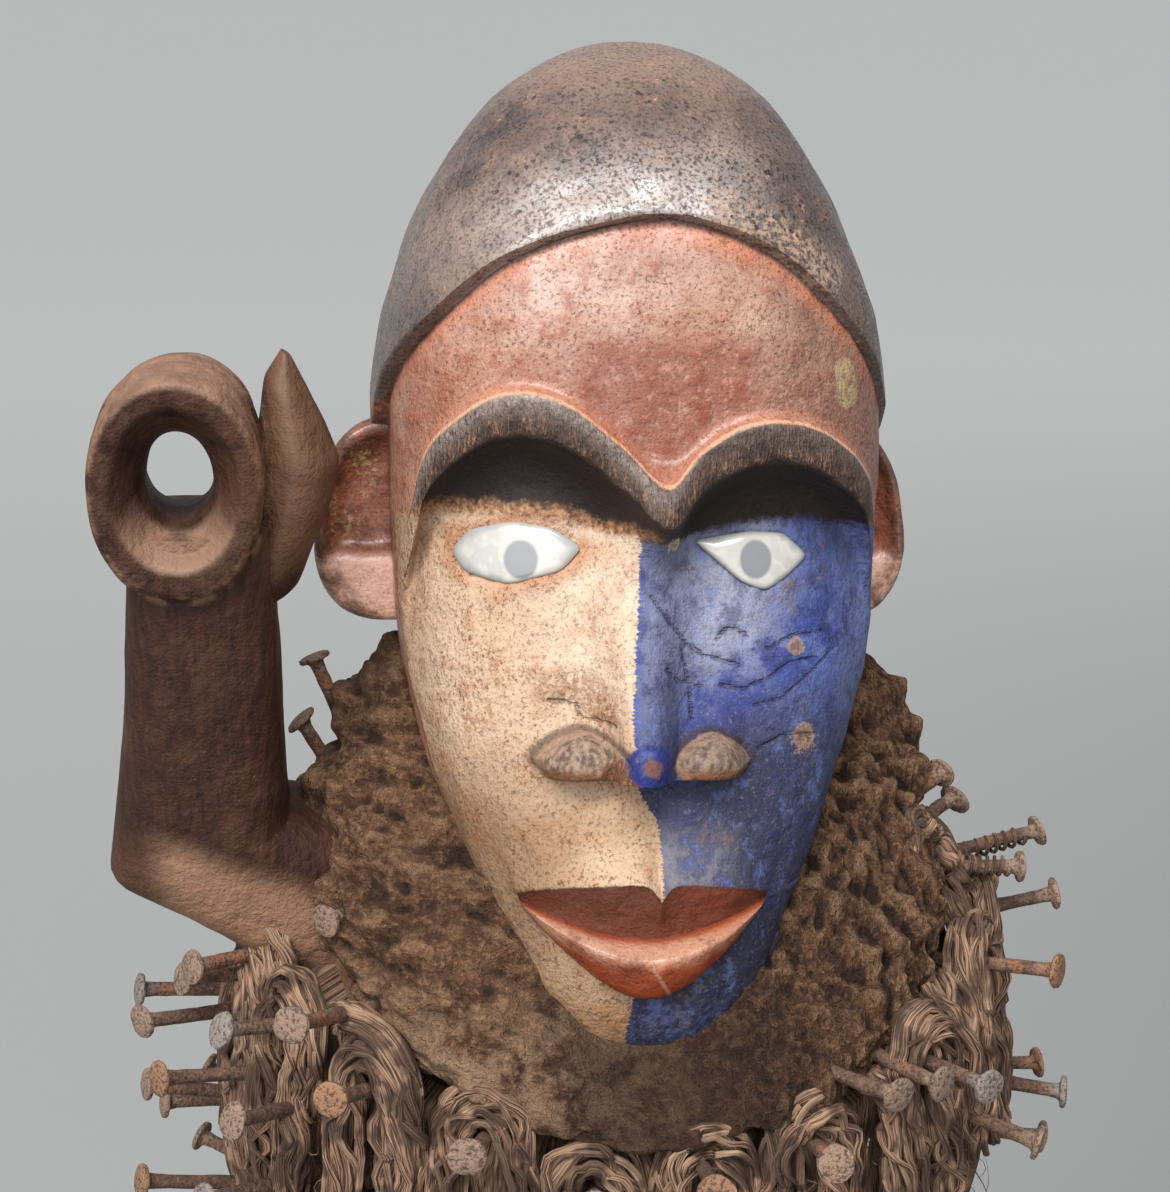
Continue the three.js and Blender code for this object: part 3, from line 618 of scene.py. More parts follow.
# %% Relief
brow_relief = curve([
    (-40, 0), (-14, 0.6), (-2.5, 1.6), (-0.6, 4.2), (0.6, 4.9), (5, 5.2), (10, 4.4), (12, 0.5), (17, -7),
    (24, -9), (31, -7), (50, -4), (80, 0),
])
lower_lip_relief = curve([(0, 0), (0.07, 4), (0.2, 6), (0.5, 8.2), (0.74, 9), (0.87, 6.2), (1, 0.8)])
upper_lip_relief = curve([(0, 0.8), (0.35, 1.6), (0.8, 4.8), (1, 6)])
LIP_FADE = 9
CREASES = [  # cuts and folds in the thick paint, in front view, each with its half width and depth
    ([(-27, 88.4), (-20.1, 87.8), (-19.2, 84.8), (-11.5, 83.6)], 0.9, 1.3),
    ([(-1.4, 115), (3, 109), (8.6, 102.4), (13, 99.5), (22, 97)], 0.6, 0.9),
    ([(6.9, 101), (8.6, 93), (9.4, 84)], 0.45, 0.7),
    ([(16.3, 103.5), (18.5, 106), (21.5, 106.3), (24.6, 104)], 0.6, 0.8),
    ([(17, 92), (23, 91), (30, 93.5), (36, 97), (44, 98)], 0.7, 0.9),
    ([(26, 87), (33, 88), (42, 94), (50, 100)], 0.6, 0.8),
    ([(30, 101), (37, 104), (46, 104.5)], 0.5, 0.6),
    ([(2, 97), (5.5, 93.6), (12, 92)], 0.45, 0.6),
    ([(27, 76), (34, 79), (43, 78)], 0.6, 0.7),
]


def distance_to_line(x, z, corners):
    """The least distance from places to the stretches of a line."""
    nearest = np.full(np.shape(x), 1e9)
    for (ax, az), (bx, bz) in zip(corners[:-1], corners[1:]):
        dx, dz = bx - ax, bz - az
        t = np.clip(((x - ax) * dx + (z - az) * dz) / (dx * dx + dz * dz), 0, 1)
        nearest = np.minimum(nearest, np.hypot(x - ax - t * dx, z - az - t * dz))
    return nearest


def wing_relief(x, z, wing):
    """A leaf: a dome over an outline that comes to a point at each side."""
    middle_x, middle_z, half_width, half_height = wing
    across = np.clip(np.abs(x - middle_x) / half_width, 0, 1)
    up = (z - middle_z) / (half_height * np.maximum(1 - across**1.8, 1e-3))
    return WING_RELIEF * np.sqrt(np.clip(1 - up**2, 0, 1)) * (1 - across**2.4) ** 0.6


def lip_relief(degrees, z):
    """Two lips, each by its share of the way from the parting to its edge."""
    under, parting, upper = under_lip_line(degrees), parting_line(degrees), upper_lip_line(degrees)
    lower_share = np.clip((z - under) / (parting - under), 0, 1)
    upper_share = np.clip((z - parting) / (upper - parting), 0, 1)
    lower = lower_lip_relief(lower_share)
    above = upper_lip_relief(upper_share) * np.exp(-np.clip(z - upper, 0, None) / LIP_FADE)
    return np.where(z > parting, above, np.where(z > under, lower, 0)) * mouth_share(degrees) ** 0.5


def relief(degrees, x, z, with_pockets=True):
    """Millimetres that the face stands forward of the plain head."""
    edge = smoothstep(66 - np.abs(x), 0, 8)
    off_middle = x - middle_line(z)
    ridge = nose_height(z) * np.exp(-((np.abs(off_middle) / nose_half_width(z)) ** 2.8))
    block = 7.5 * np.clip(1 - np.abs((x + 2.6) / 25) ** 3, 0, 1) * smoothstep(86 - z, 0, 13)
    nose = np.max([ridge, block, *(wing_relief(x, z, wing) for wing in WINGS)], axis=0)
    nose = nose * smoothstep(z, SHELF - 0.9, SHELF + 0.5)
    muzzle = 6 * np.exp(-((off_middle / 38) ** 2) - ((z - 34) / 30) ** 2)
    total = brow_relief(brow_line(degrees) - z) * edge + nose + muzzle + lip_relief(degrees, z)
    if with_pockets:
        for eye in EYES.values():
            total = total - 1.3 * (1 - smoothstep(share_of_eye(x, z, eye), 1.0, 1.07))
        for corners, width, depth in CREASES:
            total = total - depth * np.exp(-((distance_to_line(x, z, corners) / width) ** 2))
    return total


# %% [markdown]
# ## Carving the head
#
# The rows of points follow the carved lines, so the lips, nose, brows and rim stay crisp without an
# enormous mesh: between two lines the rows are spaced evenly. Columns are closer at the face. The cap is
# a few millimetres thicker than the forehead. Last come faint tool marks, moved along the normals.

# %% The head as a grid
HEAD_COLUMNS = 216
CAP_THICKNESS = 4.5
CAP_FLUSH = 0.75  # share of the thickness lost over the left temple
LINES = [  # a line round the head and the number of rows that lead up to it
    (lambda d: HEAD_BOTTOM + 0 * d, 0),
    (under_lip_line, 22), (lambda d: under_lip_line(d) + 1.6, 4), (parting_line, 18), (upper_lip_line, 13),
    (lambda d: upper_lip_line(d) + 3, 3), (lambda d: SHELF - 1 + 0 * d, 17),
    (lambda d: SHELF + 0.6 + 0 * d, 5), (lambda d: WING_TOP + 0 * d, 15),
    (lambda d: np.minimum(131, brow_line(d) - 15), 42),
    (lambda d: brow_line(d) - 12.5, 12), (lambda d: brow_line(d) - 9.5, 4), (lambda d: brow_line(d) - 0.2, 8),
    (lambda d: brow_line(d) + 1.2, 3), (lambda d: rim_line(d) - 0.6, 30), (lambda d: rim_line(d) + 1.6, 5),
    (lambda d: HEAD_TOP + 0 * d, 52),
]


def sinking(line, degrees, highest=WING_TOP):
    """Below the brows a line sinks towards the nape at the back of the head."""
    z = line(degrees)
    share = np.where(z <= highest + 0.01, 0.58 * smoothstep(np.abs(degrees), 60, 150), 0)
    return z + (HEAD_BOTTOM - z) * share


def head_grid():
    """Points of the head by row and column, in its own frame."""
    u = np.arange(HEAD_COLUMNS) / HEAD_COLUMNS * 2 - 1
    degrees = 180 * (0.46 * u + 0.54 * u**3)
    rows = []
    for (low, _), (high, count) in zip(LINES[:-1], LINES[1:]):
        a, b = pole_angle(sinking(low, degrees)), pole_angle(sinking(high, degrees))
        share = (np.arange(count) + 1)[:, None] / count
        rows.append(a + (b - a) * share)
    along = np.concatenate(rows)[:-1]
    z = height_at(along)
    angle = np.radians(degrees)[None, :] + 0 * z
    flush = CAP_FLUSH * np.clip(np.sin(angle), 0, 1) ** 2
    cap = smoothstep(z - rim_line(degrees), -0.4, 1.4) * CAP_THICKNESS * (1 - flush) * np.sin(along) ** 0.5
    power = np.where(np.cos(angle) > 0, FACE_SQUARENESS, SKULL_SQUARENESS)
    radius = rounded_radius(angle, power)
    front, back = head_front(along), head_back(along)
    x = head_aside(along) + (head_half_width(along) + cap) * radius * np.sin(angle)
    y = (front + back) / 2 - ((back - front) / 2 + cap) * radius * np.cos(angle)
    facing = smoothstep(np.cos(angle), 0.15, 0.5) * (1 - smoothstep(z - rim_line(degrees), -3, 0))
    y = y - facing * relief(np.degrees(angle), x, z)
    return np.stack([x, y, z], axis=-1)


def tool_marks(grid, height, size, seed):
    """Shallow facets and dents: each point moves along the normal by noise."""
    return grid + normals_of(grid) * (height * rough(grid, size, 3, seed))[..., None]


head = tubes(lean_back(tool_marks(head_grid(), 0.5, 15, 3))[None])
print("head:", len(head.points), "points")


# %% [markdown]
# ## The ears
#
# An ear is a dished oval plate that stands out of the side of the head, open to the front. It is a
# profile carried round an oval: from the bottom of the dish over the rim and round the back. The lobe,
# the lower third, isn't hollowed.

# %% Ears
EAR_X = {-1: -66, 1: 60}  # by side: the left ear stands out less
EAR_Y, EAR_Z = 14, 130
EAR_HALF_WIDTH, EAR_HALF_HEIGHT = 20, 28
ear_share = curve([
    (0, 0.02), (0.3, 0.6), (0.4, 0.78), (0.5, 0.9), (0.58, 0.99), (0.66, 1), (0.78, 0.9), (1, 0.05),
])
ear_depth = curve([
    (0, -1), (0.3, -1.6), (0.38, -3.4), (0.47, -6.6), (0.55, -6.6), (0.62, -3), (0.7, 2), (0.8, 6), (1, 9),
])


def ear(side):
    """Share of the oval and depth behind its middle plane, both by place along the profile."""
    along, angle = np.meshgrid(np.linspace(0, 1, 42), np.arange(64) / 64 * 2 * math.pi, indexing="ij")
    share = ear_share(along)
    lobe = smoothstep(-np.sin(angle) * share, 0.18, 0.42)
    depth = ear_depth(along)
    depth = np.where(along < 0.5, depth + (-5.6 - depth) * lobe, depth)
    wide = EAR_HALF_WIDTH * (1 - 0.12 * np.sin(angle)) * rounded_radius(angle, 2.4)
    grid = np.stack([
        EAR_X[side] + side * share * wide * np.cos(angle),
        EAR_Y + depth,
        EAR_Z + share * EAR_HALF_HEIGHT * rounded_radius(angle, 2.4) * np.sin(angle),
    ], axis=-1)
    return tubes(lean_back(tool_marks(grid, 0.35, 9, 11))[None])


# %% [markdown]
# ## Limbs, trunk and base
#
# A limb is a rounded section carried along a few stations, each with its middle and two half axes.
# Between stations everything runs straight, then neighbours are averaged a few times: that keeps the
# mitred elbow crisp and still takes the knife edge off.

# %% Limbs
RAISED_ARM = [  # middle, first half axis, second half axis
    ((-45, 20, 664), (0, 0, -28), (0, 26, 0)),
    ((-82, 14, 681), (3, 0, -27), (0, 24, 0)),
    ((-117.5, 9, 702), (-24, 0, -8), (0, 23, 0)),
    ((-115.5, 9, 735), (-21, 0, 0), (0, 22, 0)),
    ((-115, 9, 792), (-18.5, 0, 0), (0, 19, 0)),
]
LOWERED_ARM = [
    ((54, 22, 686), (0, 24, 0), (20, 0, 18)),
    ((76, 22, 650), (0, 26, 0), (23, 0, 10)),
    ((86, 22, 606), (0, 24, 0), (22, 0, 3)),
    ((94, 23, 545), (0, 22, 0), (21, 0, 2)),
    ((98, 24, 500), (0, 21, 0), (20, 0, 0)),
    ((98, 24, 478), (0, 14, 0), (13, 0, 0)),
]
FOREARM = [
    ((98, 34, 500), (0, 0, 14), (13, 2, 0)),
    ((98, 22, 498), (0, 3, 20), (19, 3, 0)),
    ((93, -8, 478), (0, 6, 18), (15, 6, 0)),
    ((83, -34, 458), (0, 6, 16), (13, 8, 0)),
    ((68, -56, 446), (0, 3, 17), (9, 9, 0)),
    ((56, -66, 440), (0, 1, 9), (5, 6, 0)),
]
THUMB = [
    ((-100, 14, 770), (10, 0, 4), (0, 16, 0)),
    ((-94, 15, 790), (12, 0, 3), (0, 17, 0)),
    ((-90, 17, 808), (11, 0, -2), (0, 15, 0)),
    ((-91, 19, 821), (8, 0, -6), (0, 10, 0)),
    ((-93, 20, 833), (1.5, 0, -1), (0, 2, 0)),
]
LEG = [
    ((38, 14, 312), (35, 0, 0), (0, 40, 0)),
    ((42, 6, 258), (32, 0, 0), (0, 36, 0)),
    ((46, -5, 210), (28, 0, 0), (0, 30, 0)),
    ((47, 10, 158), (30, 0, 0), (0, 33, 0)),
    ((47, 24, 94), (22, 0, 0), (0, 25, 0)),
    ((47, 24, 56), (23, 0, 0), (0, 26, 0)),
    ((47, 24, 34), (23, 0, 0), (0, 26, 0)),
]
FOOT = [
    ((47, 52, 50), (18, 0, 0), (0, 0, 14)),
    ((47, 34, 58), (23, 0, 0), (0, 0, 22)),
    ((48, -12, 54), (26, 0, 0), (0, 0, 19)),
    ((51, -52, 48), (29, 0, 0), (0, 0, 12)),
    ((52, -68, 45), (22, 0, 0), (0, 0, 8)),
]


def limb(stations, power, rows, columns, rounding=2, side=1):
    """Sections middle + r(angle) * (first * cos + second * sin), with r of a superellipse of that power."""
    knots = np.array(stations, float) * [side, 1, 1]
    along = np.concatenate([[0], np.cumsum(np.linalg.norm(np.diff(knots[:, 0], axis=0), axis=1))])
    even = np.linspace(0, along[-1], rows)
    flat = knots.reshape(len(knots), 9)
    run = np.stack([np.interp(even, along, flat[:, i]) for i in range(9)], axis=1)
    for _ in range(rounding):
        run[1:-1] = (run[:-2] + 2 * run[1:-1] + run[2:]) / 4
    middle, first, second = run.reshape(rows, 1, 3, 3).transpose(2, 0, 1, 3)
    angle = (np.arange(columns) / columns * 2 * math.pi)[None, :, None]
    radius = rounded_radius(angle, power)
    return middle + radius * (first * np.cos(angle) + second * np.sin(angle))


def toed(grid):
    """Four grooves between the toes at the front of a foot."""
    x, y, _ = np.moveaxis(grid, -1, 0)
    across = (np.abs(x) - 29) / 9.4
    groove = np.exp(-(((across - np.round(across)) / 0.16) ** 2)) * smoothstep(-y, 46, 58)
    return grid - np.stack([0 * x, 0 * x, 4.5 * groove * smoothstep(grid[..., 2], 42, 50)], axis=-1)


# %% [markdown]
# ## The pierced fist
#
# The fist is carved as a thick ring round a hole that once held a blade. Its profile is a closed line,
# from the edge of the hole over the flat front to the knuckles and back, carried round the hole. Grooves
# part the fingers over the knuckles.

# %% Fist
FIST = {"x": -120, "front": -15, "back": 28, "z": 805.5, "half_width": 22, "half_height": 29}
FIST_PROFILE = [  # distance from the hole's middle as a share of the fist's size, and depth
    (0.37, 0.55), (0.38, 0.36), (0.46, 0.26), (0.6, 0.12), (0.71, 0.015), (0.76, 0), (0.92, 0), (0.98, 0.03),
    (1, 0.1), (1, 0.42), (0.98, 0.66), (0.92, 0.9), (0.84, 1), (0.66, 1), (0.46, 0.85),
]
FINGER_GROOVES = (0.25, 0.5, 0.74)


def fist():
    """The profile carried round the hole: middle + share * size * (sin, cos), with finger grooves cut in."""
    profile = outline(FIST_PROFILE, 96, 2)
    angle = (np.arange(108) / 108 * 2 * math.pi)[None, :]
    share, along = profile[:, :1] + 0 * angle, profile[:, 1:] + 0 * angle
    knuckles = smoothstep(np.cos(angle), -0.55, -0.1) * smoothstep(share, 0.8, 0.9)
    for groove in FINGER_GROOVES:
        share = share - 0.075 * knuckles * np.exp(-(((along - groove) / 0.035) ** 2))
    grid = np.stack([
        FIST["x"] + share * FIST["half_width"] * rounded_radius(angle, 2.15) * np.sin(angle),
        FIST["front"] + along * (FIST["back"] - FIST["front"]),
        FIST["z"] + share * FIST["half_height"] * rounded_radius(angle, 2.15) * np.cos(angle),
    ], axis=-1)
    return tubes((grid + 0.5 * rough(grid, 11, 2, 5)[..., None] * normals_of(grid))[None], ring_shaped=True)


# %% Trunk and base
TRUNK_SQUARENESS = 2.3
TRUNK_STATIONS = [  # height, half width, half depth, middle
    (290, 84, 70, 12), (370, 77, 63, 12), (372, 82, 68, 12), (388, 82, 68, 12), (390, 75, 61, 12),
    (440, 72, 59, 12), (520, 78, 65, 13), (600, 85, 72, 14), (660, 86, 72, 16), (688, 82, 62, 20),
    (708, 68, 50, 24), (726, 52, 44, 27), (742, 43, 42, 30),
]
trunk_half_width, trunk_half_depth, trunk_middle = (
    curve([(station[0], station[i]) for station in TRUNK_STATIONS]) for i in (1, 2, 3)
)
BASE_WIDTH, BASE_DEPTH, BASE_HEIGHT = 236, 214, 40


def on_trunk(angle, z, out):
    """A point out millimetres outside the trunk: angle 0 faces the front and 90 degrees its left side."""
    radius = rounded_radius(angle, TRUNK_SQUARENESS)
    x = (trunk_half_width(z) + out) * radius * np.sin(angle)
    y = trunk_middle(z) - (trunk_half_depth(z) + out) * radius * np.cos(angle)
    return np.stack([x, y, z + 0 * x], axis=-1)


def trunk():
    """The trunk, with the folds of the carved loincloth as soft ribs on its skirt."""
    z, angle = np.meshgrid(np.linspace(290, 742, 96), np.arange(96) / 96 * 2 * math.pi, indexing="ij")
    skirt = 1 - smoothstep(z, 364, 369)
    return tool_marks(on_trunk(angle, z, 1.1 * skirt * np.sin(18 * angle)), 0.5, 16, 21)


def base():
    """A low block with rounded corners and worn edges: a superellipse that closes flat above and below."""
    share = np.array([0.02, 0.5, 0.985, 1, 1, 1, 1, 1, 0.985, 0.95, 0.6, 0.3, 0.02])[:, None]
    z = np.array([0, 0, 0, 1.5, 8, 16, 24, 34, 38.4, *4 * [BASE_HEIGHT]])[:, None]
    angle = (np.arange(128) / 128 * 2 * math.pi)[None, :]
    radius = rounded_radius(angle, 9) * share
    x, y = BASE_WIDTH / 2 * radius * np.sin(angle), BASE_DEPTH / 2 * radius * np.cos(angle)
    grid = np.stack([x, y, z + 0 * x], axis=-1)
    worn = (smoothstep(z, 4, 14) * 0.9 * noise(grid, 22, 31)) * share
    return grid - np.stack([x, y, 0 * x], axis=-1) / (BASE_WIDTH / 2) * worn[..., None]


# %% [markdown]
# ## One piece of wood
#
# The real figure is carved from one log, so its parts are united into one closed skin. A stack of
# Boolean modifiers does that, and the result is kept as a plain mesh. The zones of the finish are then
# worked out for every point in the head's frame: how far it lies above the cap's rim, below the brows,
# inside the lips, past the line between the two paints. A material reads those distances, and because
# distance changes evenly, the borders of the paint stay sharp between the points.


# %% Unite the wood
def united(name, surfaces):
    """One closed mesh from surfaces that overlap."""
    whole, *others = [mesh_object(f"{name}_{i}", surface) for i, surface in enumerate(surfaces)]
    for other in others:
        union = whole.modifiers.new("union", "BOOLEAN")
        union.operation = "UNION"
        union.solver = "MANIFOLD"
        union.object = other
    made = bpy.data.meshes.new_from_object(whole.evaluated_get(bpy.context.evaluated_depsgraph_get()))
    for used in [whole, *others]:
        bpy.data.objects.remove(used)
    made.name = name
    made.shade_smooth()
    made.set_sharp_from_angle(angle=SHARP_ANGLE)
    result = bpy.data.objects.new(name, made)
    bpy.context.scene.collection.objects.link(result)
    return result


def marked(grid, seed=41):
    """A limb closed at both ends, with tool marks."""
    return tubes(tool_marks(grid, 0.45, 15, seed)[None])


figure = united("carved_figure", [
    head,
    *(ear(side) for side in (-1, 1)),
    tubes(trunk()[None]),
    marked(limb(RAISED_ARM, 3.4, 110, 84)),
    marked(limb(LOWERED_ARM, 2.4, 60, 40, 4)),
    marked(limb(FOREARM, 2.4, 40, 32, 4)),
    fist(),
    marked(limb(THUMB, 1.7, 48, 40, 2)),
    *(marked(limb(LEG, 2.3, 56, 40, 4, side)) for side in (-1, 1)),
    *(marked(toed(limb(FOOT, 2.6, 60, 64, 2, side))) for side in (-1, 1)),
    tubes(base()[None]),
])


# %% Zones of the finish
FAR = 99


def inside_leaf(x, z, wing):
    """About how far inside a wing's outline a place lies: (1 - its share of the way out) * half height."""
    middle_x, middle_z, half_width, half_height = wing
    across, up = np.abs(x - middle_x) / half_width, np.abs(z - middle_z) / half_height
    return (1 - (across**1.5 + up**1.5) ** (1 / 1.5)) * half_height


def zones(points):
    """Signed distances in millimetres, by name, for points in the object's frame."""
    local = lean_forward(points)
    x, y, z = local.T
    in_face = degrees_at(x, z)
    along = pole_angle(z)
    middle = (head_front(along) + head_back(along)) / 2
    half_depth = (head_back(along) - head_front(along)) / 2
    across = (x - head_aside(along)) / np.maximum(head_half_width(along), 1)
    around = np.degrees(np.arctan2(across, (middle - y) / np.maximum(half_depth, 1)))
    degrees = np.where((y < middle) & (np.abs(across) < 0.965), in_face, around)
    ear_x = np.where(x < 0, EAR_X[-1], EAR_X[1])
    ear_share_of_place = np.hypot((x - ear_x) / EAR_HALF_WIDTH, (z - EAR_Z) / EAR_HALF_HEIGHT)
    beside = (np.abs(across) - 1) * head_half_width(along)
    on_ear = (beside > -0.6) & (ear_share_of_place < 1.15) & (y > 2) & (y < 26)
    on_head = ((z > -6) & (beside < np.where(z < 70, 1.2, 6)) & (y < 110)) | on_ear
    on_head &= (points[:, 2] > 700) | (y < 20)
    under, parting, upper = under_lip_line(degrees), parting_line(degrees), upper_lip_line(degrees)
    in_lips = np.where(z > parting, upper - z, z - under) * mouth_share(degrees) ** 0.3
    in_lips = np.where(mouth_share(degrees) > 0.001, in_lips, -5)
    wings = np.max([inside_leaf(x, z, wing) for wing in WINGS], axis=0)
    wings = np.where(z > SHELF - 0.4, wings, np.minimum(wings, z - SHELF))
    side = (74 - np.abs(degrees)) * 1.1
    found = {
        "above_rim": z - rim_line(degrees),
        "below_brow": np.where(np.abs(degrees) < 75, brow_line(degrees) - z, -FAR),
        "in_paint": np.minimum(paint_top(x) - z, side),
        "past_split": x - split_line(z),
        "in_lips": np.where(y < 0, in_lips, -5),
        "below_parting": parting - z,
        "in_wings": np.where(y < 0, wings, -5),
    }
    found = {name: np.where(on_head & ~on_ear, value, -FAR) for name, value in found.items()}
    found["on_ear"] = np.where(on_ear, 1, 0)
    found["on_head"] = np.where(on_head, 1, 0)
    found["up_ear"] = (z - EAR_Z) / EAR_HALF_HEIGHT
    found["ear_share"] = ear_share_of_place
    aside, up = points[:, 0] - FIST["x"], points[:, 2] - FIST["z"]
    fist_share = np.hypot(aside / FIST["half_width"], up / FIST["half_height"])
    found["fist_share"] = np.where((points[:, 0] < -70) & (points[:, 2] > 774), fist_share, 2)
    eye_share = np.min([share_of_eye(x, z, eye) for eye in EYES.values()], axis=0)
    found["eye_share"] = np.where(on_head & (y < 0), eye_share, FAR)
    return found


ZONES = zones(points_of(figure.data))
for zone, values in ZONES.items():
    set_attribute(figure.data, zone, values)

# %% [markdown]
# ## The finish of the wood
#
# The finish of the carving changes with the zones. Bare wood is dark and streaked along
# the grain. The forehead is red-brown, the brows are rough and scorched, the hollows below them are
# black, and the face is painted cream on one side and blue on the other, both thin enough for the wood
# to show through in specks. Every zone is built up as a painter would do it: a ground colour, then
# layers over it, each where its mask is 1. The masks are noises and distances, so borders look brushed
# and worn instead of cut out.

# %% Layers and shared noises
class Layers:
    """A colour built up from a ground, each layer laid over the last where its mask is 1."""

    def __init__(self, finish, ground):
        self.finish, self.top = finish, self.tinted(ground)

    def tinted(self, tint):
        return colour(*tint) if isinstance(tint, tuple) else tint

    def over(self, mask, tint):
        self.top = self.finish.blend(mask, self.top, self.tinted(tint))
        return self


class Look:
    """What the zones of the wood share: places, distances from the carved lines, noises by size."""

    def __init__(self, finish):
        self.finish = finish
        self.place = finish.place((0, 0, HEAD_HEIGHT_OFF_GROUND), -HEAD_PITCH)
        self.x, self.z = (finish.axis(self.place, axis) for axis in "XZ")
        self.off_middle = self.x.math("ABSOLUTE", self.x)
        self.standing = finish.place()
        self.zone = {name: finish.attribute(name) for name in ZONES}
        self.wide = finish.noise(self.place, 34, 4, 0.55)
        self.cloud = finish.noise(self.place, 17, 4, 0.6)
        self.middling = finish.noise(self.place, 7, 5, 0.65)
        self.fine = finish.noise(self.place, 1.7, 4, 0.65)
        self.speck = finish.noise(self.place, 0.95, 3, 0.7)
        self.ticks = finish.noise(finish.stretched(self.place, 0.25, 0.4, 1.6), 1, 2)

    def gap_to(self, corners, wobble=0.0):
        """Least distance in front view from a bent line, in millimetres, worn by up to wobble."""
        finish = self.finish
        nearest = None
        for (ax, az), (bx, bz) in zip(corners[:-1], corners[1:]):
            run = np.array([bx - ax, 0, bz - az])
            flat = finish.stretched(self.place, 1, 0, 1)
            from_start = finish.vector("SUBTRACT", flat, (ax, 0, az))
            share = finish.vector("DOT_PRODUCT", from_start, (run / (run @ run)).tolist(), output="Value")
            share = share.most(0).least(1)
            scaled = {0: run.tolist(), "Scale": share}
            reached = finish.node("ShaderNodeVectorMath", {"operation": "SCALE"}, scaled)
            gap = finish.vector("DISTANCE", from_start, reached, output="Value")
            nearest = gap if nearest is None else nearest.least(gap)
        return nearest + (self.fine - 0.5) * wobble


# %% Bare wood
def bare_wood(look):
    """Dark wood streaked along the grain, paler on the upper arm and on the fist's worn edges, with painted
    light inside the lower part of the fist's hole and along its top.
    """
    finish = look.finish
    x, z = (finish.axis(look.standing, axis) for axis in "XZ")
    grain = finish.noise(finish.stretched(look.place, 0.5, 0.5, 0.028), 1, 3, 0.6)
    wood = Layers(finish, (42, 21, 13)).over(grain.between(0.3, 0.7), (62, 35, 22))
    wood.over(look.wide.between(0.5, 0.66) * 0.5, (88, 58, 40))
    wood.over(look.middling.between(0.52, 0.74) * 0.5, (44, 24, 20))
    wood.over(look.speck.between(0.66, 0.75) * look.wide.between(0.4, 0.7), (168, 126, 92))
    elbow = z.between(716, 690) * x.between(-112, -124)
    wood.over(elbow * look.middling.between(0.2, 0.6) * 0.7, (96, 66, 48))
    thumb = x.between(-101, -95) * z.between(774, 786) * (0.3 + look.middling * 0.7)
    wood.over(thumb * 0.75, (124, 90, 68))
    at_arm = (x + (look.middling - 0.5) * 16).between(-58, -84) * z.between(560, 640)
    bent = (z + (x + 118) * 0.45).between(712, 700)
    wood.over(at_arm * bent * (0.6 + look.fine * 0.5) * x.between(-133, -120), (150, 114, 90))
    share = look.zone["fist_share"] + (look.fine - 0.5) * 0.05
    on_fist = share.between(1.12, 1.03)
    # Painted light: the lower inside of the fist's hole is paler, as lit from above.
    hollow = share.between(0.44, 0.5) * share.between(0.77, 0.7) * z.between(803, 790)
    wood.over(on_fist * look.middling.between(0.35, 0.65) * 0.6, (84, 56, 44))
    wood.over(hollow * 0.8, (140, 108, 88))
    edge = share.between(0.9, 0.97) * on_fist
    wood.over(edge * look.middling.between(0.4, 0.62) * 0.7, (136, 102, 78))
    # Painted light along the fist's top edge.
    top_edge = share.between(0.9, 0.96) * on_fist * z.between(818, 832)
    return wood.over(top_edge * 0.6, (136, 104, 84)).top


# %% Forehead
def forehead(look):
    """Red-brown skin: a painted sheen above, deep red in the middle above the brows, orange along the edges,
    with painted glints in pale specks and painted shade towards the blue side.
    """
    drop = look.zone["below_brow"]
    off = look.x.math("ABSOLUTE", look.x + (look.cloud - 0.5) * 34 - 3)
    skin = Layers(look.finish, (158, 112, 88))
    skin.over(look.wide.between(0.35, 0.65), (180, 146, 124))
    # Painted sheen: a pale pinkish patch at the top of the forehead.
    pale_patch = look.x.between(24, -24) * look.z.between(172, 190) * look.cloud.between(0.3, 0.6)
    skin.over(pale_patch * 0.7, (196, 164, 154))
    skin.over(look.middling.between(0.5, 0.66) * 0.6, (142, 74, 52))
    deep = off.between(34, 18) * (look.z + (look.middling - 0.5) * 12).between(183, 176)
    deep = deep.most(drop.between(-16, -5) * off.between(52, 30) * 0.7)
    skin.over(deep * (0.5 + look.middling * 0.6).least(1), (124, 62, 43))
    # Pale specks over the deep red: painted glints of the lacquer's sheen.
    skin.over(deep * look.speck.between(0.5, 0.7) * 0.5, (188, 128, 106))
    skin.over(look.off_middle.between(40, 60) * 0.55, (146, 86, 62))
    # Painted shade: the forehead is darker towards the blue side, away from the light.
    skin.over(look.x.between(18, 40) * look.cloud.between(0.1, 0.5) * 0.8, (122, 80, 64))
    skin.over(look.z.between(176, 200) * 0.45, (136, 98, 82))
    under_rim = look.zone["above_rim"].between(-10, -2)
    skin.over(under_rim * look.fine.between(0.2, 0.65) * 0.7, (188, 112, 82))
    skin.over(drop.between(-6, -1) * look.fine.between(0.25, 0.7) * 0.6, (196, 124, 94))
    skin.over(look.speck.between(0.54, 0.66) * 0.55, (98, 50, 38))
    # Pale specks: painted glints of the sheen.
    skin.over(look.fine.between(0.46, 0.34) * 0.3, (200, 160, 142))
    chip = look.gap_to([(50, 172), (51, 166)], 5).between(4.2, 3)
    return skin.over(chip * look.fine.between(0.35, 0.55) * 0.8, (178, 158, 112)).top


